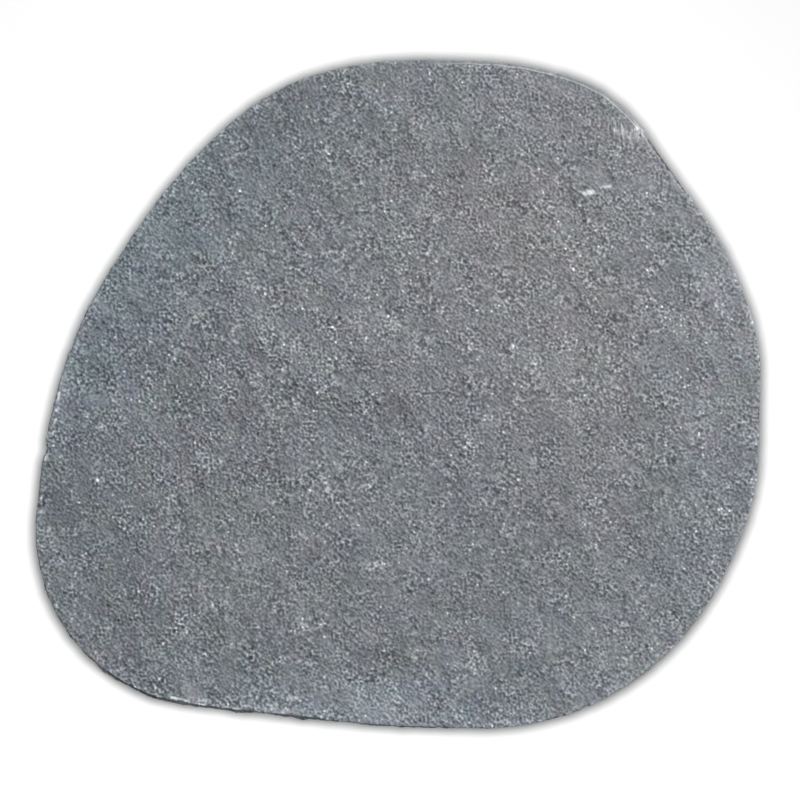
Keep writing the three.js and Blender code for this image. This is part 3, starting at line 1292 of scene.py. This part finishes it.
class RimLine(ShaderGroup):
    """A thin broken line that follows the slab's rim a little way in."""

    name = "rim_line"
    inputs = (
        ("Place", VECTOR, None),
        ("Depth", FLOAT, 0.0),
        ("Inset", FLOAT, 2.0),
        ("Width", FLOAT, 1.0),
    )
    outputs = (("Line", FLOAT),)

    WANDER_SIZE, WANDER = 9.0, 0.14
    GAP_SIZE = 4.0
    GAP_RANGE = (-2.4, -1.0)  # the noise below the first is all gap, above the second all line

    def wire(self, wiring: Wiring, given: bpy.types.NodeOutputs) -> tuple[Socket, ...]:
        """Compares each place's depth inside the rim with the line's, which wanders a little."""
        wander = wiring.noise(given["Place"], self.WANDER_SIZE)
        inset = wiring.calculate("MULTIPLY_ADD", wander, self.WANDER, given["Inset"])
        away = wiring.calculate("ABSOLUTE", wiring.calculate("SUBTRACT", given["Depth"], inset))
        line = wiring.between(away, given["Width"], 0.0)
        whole = wiring.between(wiring.noise(given["Place"], self.GAP_SIZE), *self.GAP_RANGE)
        return (wiring.product(line, whole),)


class LineMark(ShaderGroup):
    """A short ragged line on the top, such as a scratch or a crack."""

    name = "line_mark"
    inputs = (
        ("Place", VECTOR, None),
        ("Start", VECTOR, None),
        ("End", VECTOR, None),
        ("Width", FLOAT, 1.0),
    )
    outputs = (("Line", FLOAT),)

    FLATTEN = (1.0, 1.0, 0.0)
    CORE = 0.2  # the share of its width over which the line is whole

    def wire(self, wiring: Wiring, given: bpy.types.NodeOutputs) -> tuple[Socket, ...]:
        """Measures how far each place is from the line, in plan."""
        flat = wiring.vector("MULTIPLY", given["Place"], self.FLATTEN)
        line = wiring.vector("SUBTRACT", given["End"], given["Start"])
        reach = wiring.vector("SUBTRACT", flat, given["Start"])
        length = wiring.measure("DOT_PRODUCT", line, line)
        share = wiring.calculate("DIVIDE", wiring.measure("DOT_PRODUCT", reach, line), length)
        within = wiring.calculate("MINIMUM", wiring.calculate("MAXIMUM", share, 0.0), 1.0)
        away = wiring.measure("DISTANCE", reach, wiring.scaled(line, within))
        return (wiring.between(away, given["Width"], wiring.product(given["Width"], self.CORE)),)


# ---------------------------------------------------------------------------------------------
# Finishes
# ---------------------------------------------------------------------------------------------


class Attribute(Enum):
    """The values that the stone's mesh carries at each point for its finish."""

    RELIEF = "relief"
    BROKEN = "broken"
    SIDE = "side"
    UNDER = "under"
    TONE = "tone"
    WARMTH = "warmth"
    VERDURE = "verdure"
    MOTTLE = "mottle"
    POLISH = "polish"
    SPARKLE = "sparkle"
    SCUFF = "scuff"
    ARRIS = "arris"
    DEPTH = "depth"

    @classmethod
    def names(cls) -> list[str]:
        """Every attribute's name."""
        return [attribute.value for attribute in cls]


def grey(red: float, green: float, blue: float) -> tuple[float, float, float, float]:
    """A linear colour with nothing see-through about it."""
    return (red, green, blue, 1.0)


@dataclass(frozen=True)
class SurfaceFinish:
    """How one of the slab's faces is finished; the split side's tone also holds painted shade. Sizes are in
    millimetres, tones are logarithms.
    """

    tone: float
    grain_contrast: float
    grain_rise: float
    crystals: float
    roughness: float


@dataclass(frozen=True)
class Mark:
    """A scratch or a crack on the top, in millimetres. Its tone is a logarithm."""

    start: tuple[float, float]
    end: tuple[float, float]
    width: float
    tone: float

    def line(self, wiring: Wiring, place: Socket) -> Socket:
        """Adds the mark to a material, and gives how much of it is at each place."""
        line = LineMark().place(
            wiring, Place=place, Start=(*self.start, 0.0), End=(*self.end, 0.0), Width=self.width
        )
        return line["Line"]


@dataclass(frozen=True)
class Spots:
    """One kind of small spot in the stone. Sizes are in millimetres."""

    spacing: float
    radius: float
    clumping: float
    share: float = 0.0

    def mask(self, wiring: Wiring, place: Socket, share: Socket | None = None) -> Socket:
        """Adds the spots to a material, more of them where a share is given, as a mask."""
        spots = ScatteredSpots().place(
            wiring,
            Place=place,
            Spacing=self.spacing,
            Share=self.share if share is None else share,
            Radius=self.radius,
            Clumping=self.clumping,
        )
        return spots["Spot"]


@dataclass(frozen=True)
class Strokes:
    """One set of straight marks. Sizes are in millimetres, the angle in radians."""

    angle: float
    pitch: float
    contrast: float
    rise: float
    shortness: float

    def marks(self, wiring: Wiring, place: Socket, share: Socket) -> bpy.types.NodeOutputs:
        """Adds the marks to a material, as strong as their share there."""
        return StraightMarks().place(
            wiring,
            Place=place,
            Angle=self.angle,
            Shortness=self.shortness,
            Pitch=self.pitch,
            Contrast=wiring.product(share, self.contrast),
            Rise=wiring.product(share, self.rise),
        )


@dataclass(frozen=True)
class LimestoneFinish:
    """The stone's material: a worn top, a split side and a sawn underside in one."""

    neutral: tuple = grey(0.2118, 0.2118, 0.2118)
    cast_share: float = 0.48
    violet: tuple = grey(0.2028, 0.2100, 0.2350)
    green: tuple = grey(0.1947, 0.2174, 0.2245)
    blue: tuple = grey(0.918, 0.999, 1.070)
    warm: tuple = grey(1.080, 0.988, 0.955)
    worn: SurfaceFinish = SurfaceFinish(-0.012, 0.294, 0.10, 0.055, 0.82)
    # The split side's tone of -0.42 is painted shade: it darkens the side for the shade it lies in.
    split: SurfaceFinish = SurfaceFinish(-0.42, 0.26, 0.12, 0.04, 0.86)
    sawn: SurfaceFinish = SurfaceFinish(-0.04, 0.09, 0.03, 0.02, 0.78)
    grain_size: float = 1.75
    grain_angle: float = math.radians(42.0)
    mottle_size: float = 9.0
    # Crests of the relief are paler and its hollows darker: wear and dirt, and partly painted shade in the
    # hollows.
    relief_wear_and_shade_tone: float = 0.10
    crumb_tone: float = 0.31
    crystal_tone: float = 0.80
    crystal_roughness: float = -0.34
    # The pits are darker: partly dirt, partly painted shade in the hollows.
    pit_dirt_and_shade_tone: float = -0.55
    pit_depth: float = -0.25
    broken_tone: float = 0.26
    crystals: Spots = Spots(spacing=2.3, radius=0.46, clumping=0.9)
    crumbs: Spots = Spots(spacing=2.7, radius=0.46, clumping=0.25, share=0.34)
    pits: Spots = Spots(spacing=3.4, radius=0.40, clumping=0.3, share=0.13)
    bed_pitch: float = 2.6
    bed_contrast: float = 0.10
    bed_rise: float = 0.10
    saw: Strokes = Strokes(math.radians(17.0), pitch=3.2, contrast=0.05, rise=0.06, shortness=0.012)
    scuffs: Strokes = Strokes(math.radians(86.0), pitch=1.5, contrast=0.42, rise=0.03, shortness=0.16)
    # The pale line along the upper arris, and the smoothing of the grain near it: rubbed wear, and a
    # painted highlight where the arris faces the key lamp.
    arris_inset: float = 2.1
    arris_width: float = 0.75
    rim_depth: tuple[float, float] = (3.6, 2.4)  # the rim's wear starts and is whole at these
    rim_paleness: tuple[float, float] = (0.05, 0.35)  # and at these tones of the arris
    rim_loss: float = 0.8
    stray_pitch: float = 0.45  # waves in a millimetre of the noise that frays the marks
    stray: float = 0.9  # how far it moves them each way
    marks_end: tuple[float, float] = (0.9, 0.4)  # shares of the side where they are gone and whole
    bruise_loss: float = -0.5
    least_kept: float = 0.3
    marks: tuple[Mark, ...] = (
        Mark(start=(115.8, 124.9), end=(120.2, 125.4), width=2.7, tone=1.15),
        Mark(start=(125.5, 128.3), end=(131.5, 129.4), width=1.4, tone=0.80),
        Mark(start=(126.0, 145.0), end=(132.4, 137.3), width=0.9, tone=-0.30),
        Mark(start=(132.4, 137.3), end=(133.0, 132.0), width=0.9, tone=-0.35),
        Mark(start=(-141.0, -187.6), end=(-131.0, -189.6), width=1.3, tone=0.85),
        Mark(start=(-127.4, -191.9), end=(-119.5, -192.4), width=1.3, tone=0.85),
        Mark(start=(-108.8, -193.9), end=(-97.6, -195.4), width=1.3, tone=0.80),
        Mark(start=(-210.3, 0.3), end=(-210.9, -4.0), width=1.4, tone=0.95),
        Mark(start=(-210.9, -9.6), end=(-211.9, -11.0), width=1.5, tone=0.95),
        Mark(start=(-212.2, -16.0), end=(-213.2, -19.0), width=1.4, tone=0.90),
        Mark(start=(-213.8, -24.3), end=(-214.2, -26.6), width=1.3, tone=0.85),
        Mark(start=(-217.2, -38.0), end=(-218.6, -41.0), width=1.3, tone=0.95),
        Mark(start=(-186.4, -21.7), end=(-182.0, -20.5), width=1.1, tone=0.80),
        Mark(start=(-59.0, -9.5), end=(-28.0, -11.0), width=1.2, tone=-0.26),
        Mark(start=(-28.0, -11.0), end=(-3.0, -24.0), width=1.2, tone=-0.22),
        Mark(start=(74.0, 106.0), end=(88.0, 92.0), width=0.8, tone=0.25),
        Mark(start=(87.0, 9.4), end=(100.0, 8.8), width=0.8, tone=0.25),
    )

    def build(self) -> bpy.types.Material:
        """Makes the material."""
        material = bpy.data.materials.new("limestone")
        material.use_nodes = True
        wiring = Wiring(material.node_tree)
        shader = material.node_tree.nodes["Principled BSDF"]
        at = wiring.add("ShaderNodeTexCoord").outputs["Object"]
        place = wiring.scaled(at, 1 / MM)
        read = {name: self._attribute(wiring, name) for name in Attribute.names()}
        side, under, broken = read["side"], read["under"], read["broken"]
        # Near the pale arris line the grain and spots are smoothed, for wear and under the painted
        # highlight.
        near_rim = wiring.between(read["depth"], *self.rim_depth)
        worn_and_lit_arris = wiring.between(read["arris"], *self.rim_paleness)
        worn_and_lit_rim = wiring.product(near_rim, worn_and_lit_arris, self.rim_loss)
        marks, bruise = self._marked(wiring, place, side)
        whole_rim = wiring.calculate("SUBTRACT", 1.0, worn_and_lit_rim)
        unbruised = wiring.calculate("MULTIPLY_ADD", bruise, self.bruise_loss, 1.0)
        kept = wiring.product(whole_rim, wiring.calculate("MAXIMUM", unbruised, self.least_kept))
        unpolished = wiring.product(wiring.calculate("SUBTRACT", 1.0, read["polish"]), whole_rim)
        rubbed = wiring.product(unpolished, unbruised)

        def by_face(name: str) -> Socket:
            """One of the finish's values, blended over the faces."""
            worn, split, sawn = (getattr(face, name) for face in (self.worn, self.split, self.sawn))
            on_side = wiring.calculate("MULTIPLY_ADD", side, split - worn, worn)
            return wiring.total(on_side, wiring.product(under, sawn - worn))

        grain = CrumbGrain().place(
            wiring,
            Place=place,
            Size=self.grain_size,
            Angle=self.grain_angle,
            Contrast=wiring.product(by_face("grain_contrast"), rubbed),
            Rise=wiring.product(by_face("grain_rise"), unpolished),
        )
        rich = wiring.total(by_face("crystals"), read["sparkle"])
        crystal = self.crystals.mask(wiring, place, rich)
        crumb = self.crumbs.mask(wiring, place)
        pit = self.pits.mask(wiring, place)
        beds = BeddingLines().place(
            wiring,
            Place=place,
            Pitch=self.bed_pitch,
            Contrast=wiring.product(side, self.bed_contrast),
            Rise=wiring.product(side, self.bed_rise),
        )
        saw = self.saw.marks(wiring, place, under)
        scuff = self.scuffs.marks(wiring, place, read["scuff"])
        arris = RimLine().place(
            wiring, Place=place, Depth=read["depth"], Inset=self.arris_inset, Width=self.arris_width
        )["Line"]
        hue = GreyMottle().place(
            wiring,
            Place=place,
            Size=self.mottle_size,
            Warmth=read["warmth"],
            Variety=read["mottle"],
            Verdure=read["verdure"],
            Violet=self.violet,
            Green=self.green,
            Blue=self.blue,
            Warm=self.warm,
        )["Color"]
        tone = wiring.total(
            grain["Tone"],
            beds["Tone"],
            saw["Tone"],
            scuff["Tone"],
            marks,
            # the pale line along the upper arris: painted highlight where it faces the key lamp, rubbed
            # wear elsewhere
            wiring.product(arris, read["arris"]),
            read["tone"],
            # the faces' tones, the split side's darkened as painted shade
            by_face("tone"),
            wiring.product(read["relief"], rubbed, self.relief_wear_and_shade_tone),
            wiring.product(crystal, kept, self.crystal_tone),
            wiring.product(crumb, rubbed, self.crumb_tone),
            wiring.product(pit, kept, self.pit_dirt_and_shade_tone),
            wiring.product(broken, self.broken_tone),
        )
        wiring.feed(shader.inputs["Base Color"], self._toned(wiring, hue, tone))

        rough = wiring.total(by_face("roughness"), wiring.product(crystal, self.crystal_roughness))
        wiring.feed(shader.inputs["Roughness"], rough)

        height = wiring.total(
            grain["Height"],
            beds["Height"],
            saw["Height"],
            scuff["Height"],
            wiring.product(pit, self.pit_depth),
        )
        bump = wiring.add("ShaderNodeBump")
        wiring.feed(bump.inputs["Distance"], MM)
        wiring.feed(bump.inputs["Height"], height)
        wiring.feed(shader.inputs["Normal"], bump.outputs[0])
        return material

    def _marked(self, wiring: Wiring, place: Socket, side: Socket) -> tuple[Socket, Socket]:
        """Adds the listed marks, with frayed edges and none of them down the side.

        Args:
            wiring: The material's wiring.
            place: The place, in millimetres.
            side: How much of the surface is side, from 0 to 1.

        Returns:
            The marks' tone, and how much of the surface the pale ones cover.
        """
        noise = wiring.add("ShaderNodeTexNoise")
        wiring.feed(noise.inputs["Vector"], place)
        wiring.feed(noise.inputs["Scale"], self.stray_pitch)
        frayed = wiring.vector("MULTIPLY_ADD", noise.outputs["Color"], (2 * self.stray,) * 3, place)
        frayed = wiring.vector("SUBTRACT", frayed, (self.stray,) * 3)
        lines = [(mark, mark.line(wiring, frayed)) for mark in self.marks]
        on_top = wiring.between(side, *self.marks_end)
        tones = wiring.total(*(wiring.product(line, mark.tone) for mark, line in lines))
        cover = wiring.total(*(line for mark, line in lines if mark.tone > 0))
        return wiring.product(tones, on_top), wiring.product(cover, on_top)

    def _toned(self, wiring: Wiring, hue: Socket, tone: Socket) -> Socket:
        """The stone's colour at a tone. Pale crumbs are greyer than dark ones.

        Args:
            wiring: The material's wiring.
            hue: The colour at a tone of 0.
            tone: How much paler or darker it is, as a logarithm.

        Returns:
            The colour.
        """
        cast = wiring.vector("SUBTRACT", hue, self.neutral[:3])
        faded = wiring.calculate("EXPONENT", wiring.product(tone, self.cast_share))
        even = wiring.scaled(self.neutral[:3], wiring.calculate("EXPONENT", tone))
        return wiring.vector("ADD", even, wiring.scaled(cast, faded))

    @staticmethod
    def _attribute(wiring: Wiring, name: str) -> Socket:
        """Reads one of the values that the mesh carries at each point."""
        return wiring.add("ShaderNodeAttribute", attribute_name=name).outputs["Fac"]


@dataclass(frozen=True)
class FloorFinish:
    """A plain pale floor, matt and even."""

    colour: tuple = grey(0.88, 0.88, 0.88)
    roughness: float = 0.95
    specular: float = 0.1

    def build(self) -> bpy.types.Material:
        """Makes the material."""
        material = bpy.data.materials.new("pale_floor")
        material.use_nodes = True
        shader = material.node_tree.nodes["Principled BSDF"]
        shader.inputs["Base Color"].default_value = self.colour
        shader.inputs["Roughness"].default_value = self.roughness
        shader.inputs["Specular IOR Level"].default_value = self.specular
        return material


# ---------------------------------------------------------------------------------------------
# The stone
# ---------------------------------------------------------------------------------------------


@dataclass
class SteppingStone:
    """The stone itself: its shell, its weathered surface and its finish."""

    slab: PackedSlab
    name: str = "weathered_slab"
    finish: LimestoneFinish = field(default_factory=LimestoneFinish)
    top_facing: tuple[float, float] = (0.2, 0.9)  # upward slopes where the top starts and is whole
    side_facing: tuple[float, float] = (0.1, 0.65)  # steepness where the side is whole and ends
    under_facing: tuple[float, float] = (0.3, 0.95)
    under_grain: float = 0.25
    side_grain: float = 1.15
    under_relief_loss: float = 0.75
    stain_and_light_fade: tuple[float, float] = (1.0 * MM, 6.0 * MM)  # drops below the top
    stain_and_light_loss: float = 0.8

    def build(self) -> bpy.types.Object:
        """Makes the stone's mesh and dresses it."""
        section = EdgeSection(self.slab.thickness)
        maker = ShellMaker(self.slab, section)
        shell = maker.build()
        charts = Charts(shell, maker.ring_count).corners()
        places, values = self._weathered(shell, Weather(self.slab, section))
        mesh = bpy.data.meshes.new(self.name)
        mesh.from_pydata(places.tolist(), [], shell.triangles.tolist())
        mesh.shade_smooth()
        layer = mesh.uv_layers.new(name="OFBake")
        layer.uv.foreach_set("vector", charts.astype(np.float32).ravel())
        for attribute, numbers in values.items():
            data = mesh.attributes.new(attribute.value, "FLOAT", "POINT").data
            data.foreach_set("value", numbers.astype(np.float32))
        mesh.materials.append(self.finish.build())
        stone = bpy.data.objects.new(self.name, mesh)
        bpy.context.scene.collection.objects.link(stone)
        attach(stone, "root")
        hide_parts(SLAB_NODE)
        log.info("%s: %d points, %d triangles", self.name, len(places), len(shell.triangles))
        return stone

    def _weathered(self, shell: Shell, weather: Weather) -> tuple[Points, dict[Attribute, Values]]:
        """Moves the shell's points to the stone's surface.

        Args:
            shell: The smooth slab.
            weather: What has happened to it.

        Returns:
            The points' places, and the values that the finish reads at each.
        """
        up = shell.outward[:, 2]
        top = smooth_step(*self.top_facing, up)
        side = 1 - smooth_step(*self.side_facing, np.abs(up))
        under = smooth_step(*self.under_facing, -up)
        places = shell.places.copy()
        broken = weather.knock_off(places)
        grain = weather.grain(places)
        stains_and_light = StainsAndPaintedLight(self.slab)
        polish = stains_and_light.total("polish", places)
        lift = weather.top_relief(places)
        rise = top * grain * (1 - polish) + under * self.under_grain * grain
        rise += side * (weather.side_relief(places) + self.side_grain * grain)
        drop = smooth_step(*self.stain_and_light_fade, self.slab.thickness - shell.places[:, 2])
        stain_and_light_tone = stains_and_light.total("tone", places) * (1 - self.stain_and_light_loss * drop)
        values = {
            Attribute.RELIEF: grain / MM * (1 - self.under_relief_loss * under),
            Attribute.BROKEN: broken,
            Attribute.SIDE: side,
            Attribute.UNDER: under,
            Attribute.TONE: stain_and_light_tone * (1 - under) + top * stains_and_light.rim_wear(places),
            Attribute.WARMTH: stains_and_light.total("warmth", places) * (1 - under),
            Attribute.VERDURE: stains_and_light.total("verdure", places),
            Attribute.MOTTLE: stains_and_light.total("mottle", places),
            Attribute.POLISH: polish * top,
            Attribute.SPARKLE: stains_and_light.total("sparkle", places) * top,
            Attribute.SCUFF: stains_and_light.total("scuff", places) * top,
            Attribute.ARRIS: stains_and_light.arris(places) * top,
            Attribute.DEPTH: self.slab.depth_inside(places) / MM,
        }
        places = places + shell.outward * rise[:, None]
        places[:, 2] = np.maximum(places[:, 2] + lift, 0.0)
        return places, values


# ---------------------------------------------------------------------------------------------
# Studio
# ---------------------------------------------------------------------------------------------


def direction(bearing: float, height: float) -> Vector:
    """The direction at a bearing from +X and a height above the horizon, both in radians."""
    flat = math.cos(height)
    return Vector((math.cos(bearing) * flat, math.sin(bearing) * flat, math.sin(height)))


@dataclass
class Studio:
    """A pale floor, soft lights and a camera that looks down on the stone."""

    stone: bpy.types.Object
    floor_size: float = 30.0
    floor_gap: float = 0.02 * MM
    lens: float = 180.0
    frame_width: float = 0.4965
    look_at: tuple[float, float, float] = (0.0007, -0.0038, 0.030)
    camera_bearing: float = math.radians(240.0)
    camera_height: float = math.radians(87.0)
    sky_strength: float = 0.15
    key_power: float = 115.0
    key_size: float = 1.1
    key_distance: float = 3.4
    key_bearing: float = math.radians(45.0)
    key_height: float = math.radians(42.0)
    fill_power: float = 8.0
    fill_size: float = 1.6
    fill_distance: float = 2.2
    fill_height: float = math.radians(80.0)
    floor_lamp_power: float = 14.60
    floor_lamp_size: float = 0.316
    floor_lamp_height: float = 1.28
    floor_glow: float = 0.66
    floor_glow_angle: float = math.radians(36.0)
    floor_glow_height: float = 3.0
    clip: tuple[float, float] = (0.01, 100.0)

    def build(self) -> None:
        """Sets up the floor, the lights and the camera."""
        self.floor = self._floor()
        self._camera()
        self._sky()
        for_stone = self._lit_only("stone_lights", self.stone)
        for_floor = self._lit_only("floor_lights", self.floor)
        key_from = direction(self.key_bearing, self.key_height)
        self._lamp("key", self.key_power, self.key_size, key_from * self.key_distance, for_stone)
        fill_from = direction(self.key_bearing, self.fill_height)
        self._lamp("fill", self.fill_power, self.fill_size, fill_from * self.fill_distance, for_stone)
        above = direction(self.camera_bearing, self.camera_height) * self.floor_lamp_height
        self._lamp("floor_lamp", self.floor_lamp_power, self.floor_lamp_size, above, for_floor)
        self._floor_glow(for_floor)
        bpy.context.scene.view_settings.view_transform = "Standard"
        log.info("studio: floor, camera and four lights")

    def _floor(self) -> bpy.types.Object:
        """A plain floor, just under the stone."""
        half = self.floor_size / 2
        corners = [(-half, -half, 0), (half, -half, 0), (half, half, 0), (-half, half, 0)]
        mesh = bpy.data.meshes.new("floor")
        mesh.from_pydata(corners, [], [(0, 1, 2, 3)])
        mesh.materials.append(FloorFinish().build())
        floor = bpy.data.objects.new("floor", mesh)
        floor.location.z = -self.floor_gap
        bpy.context.scene.collection.objects.link(floor)
        return floor

    def _camera(self) -> None:
        """A long lens almost straight above, a little towards one end, with +Y up its picture."""
        data = bpy.data.cameras.new("camera")
        data.lens = self.lens
        data.clip_start, data.clip_end = self.clip
        half_width = data.sensor_width / 2 / self.lens
        back = direction(self.camera_bearing, self.camera_height)
        right = Vector((0.0, 1.0, 0.0)).cross(back).normalized()
        camera = bpy.data.objects.new("camera", data)
        camera.location = Vector(self.look_at) + back * (self.frame_width / 2 / half_width)
        camera.rotation_mode = "QUATERNION"
        camera.rotation_quaternion = Matrix((right, back.cross(right), back)).transposed().to_quaternion()
        bpy.context.scene.collection.objects.link(camera)
        bpy.context.scene.camera = camera

    def _sky(self) -> None:
        """A weak even light from all round."""
        world = bpy.data.worlds.new("studio")
        world.use_nodes = True
        background = world.node_tree.nodes["Background"]
        background.inputs["Color"].default_value = grey(1.0, 1.0, 1.0)
        background.inputs["Strength"].default_value = self.sky_strength
        bpy.context.scene.world = world

    @staticmethod
    def _lit_only(name: str, lit: bpy.types.Object) -> bpy.types.Collection:
        """A collection of the one object that some lights are for."""
        collection = bpy.data.collections.new(name)
        collection.objects.link(lit)
        return collection

    @staticmethod
    def _hang(name: str, light: bpy.types.Light, place: Vector, lit: bpy.types.Collection) -> None:
        """Hangs a light so that it looks at the middle of the stone.

        Args:
            name: The lamp's name.
            light: The light itself.
            place: Where it hangs.
            lit: What it lights.
        """
        lamp = bpy.data.objects.new(name, light)
        lamp.location = place
        lamp.rotation_mode = "QUATERNION"
        lamp.rotation_quaternion = place.to_track_quat("Z", "Y")
        lamp.light_linking.receiver_collection = lit
        bpy.context.scene.collection.objects.link(lamp)

    def _lamp(self, name: str, power: float, size: float, place: Vector, lit: bpy.types.Collection) -> None:
        """A round soft lamp.

        Args:
            name: The lamp's name.
            power: Its power, in watts.
            size: Its diameter.
            place: Where it hangs.
            lit: What it lights.
        """
        light = bpy.data.lights.new(name, "AREA")
        light.shape = "DISK"
        light.size = size
        light.energy = power
        self._hang(name, light, place, lit)

    def _floor_glow(self, lit: bpy.types.Collection) -> None:
        """An even soft light from above, for the floor near and far."""
        light = bpy.data.lights.new("floor_glow", "SUN")
        light.angle = self.floor_glow_angle
        light.energy = self.floor_glow
        self._hang("floor_glow", light, Vector((0.0, 0.0, self.floor_glow_height)), lit)


def main() -> None:
    """Builds the stone and its studio; the stone's build logs its count of points and triangles."""
    slab = PackedSlab(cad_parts[SLAB_NODE])
    stone = SteppingStone(slab).build()
    Studio(stone).build()


if __name__ == "__main__":
    main()
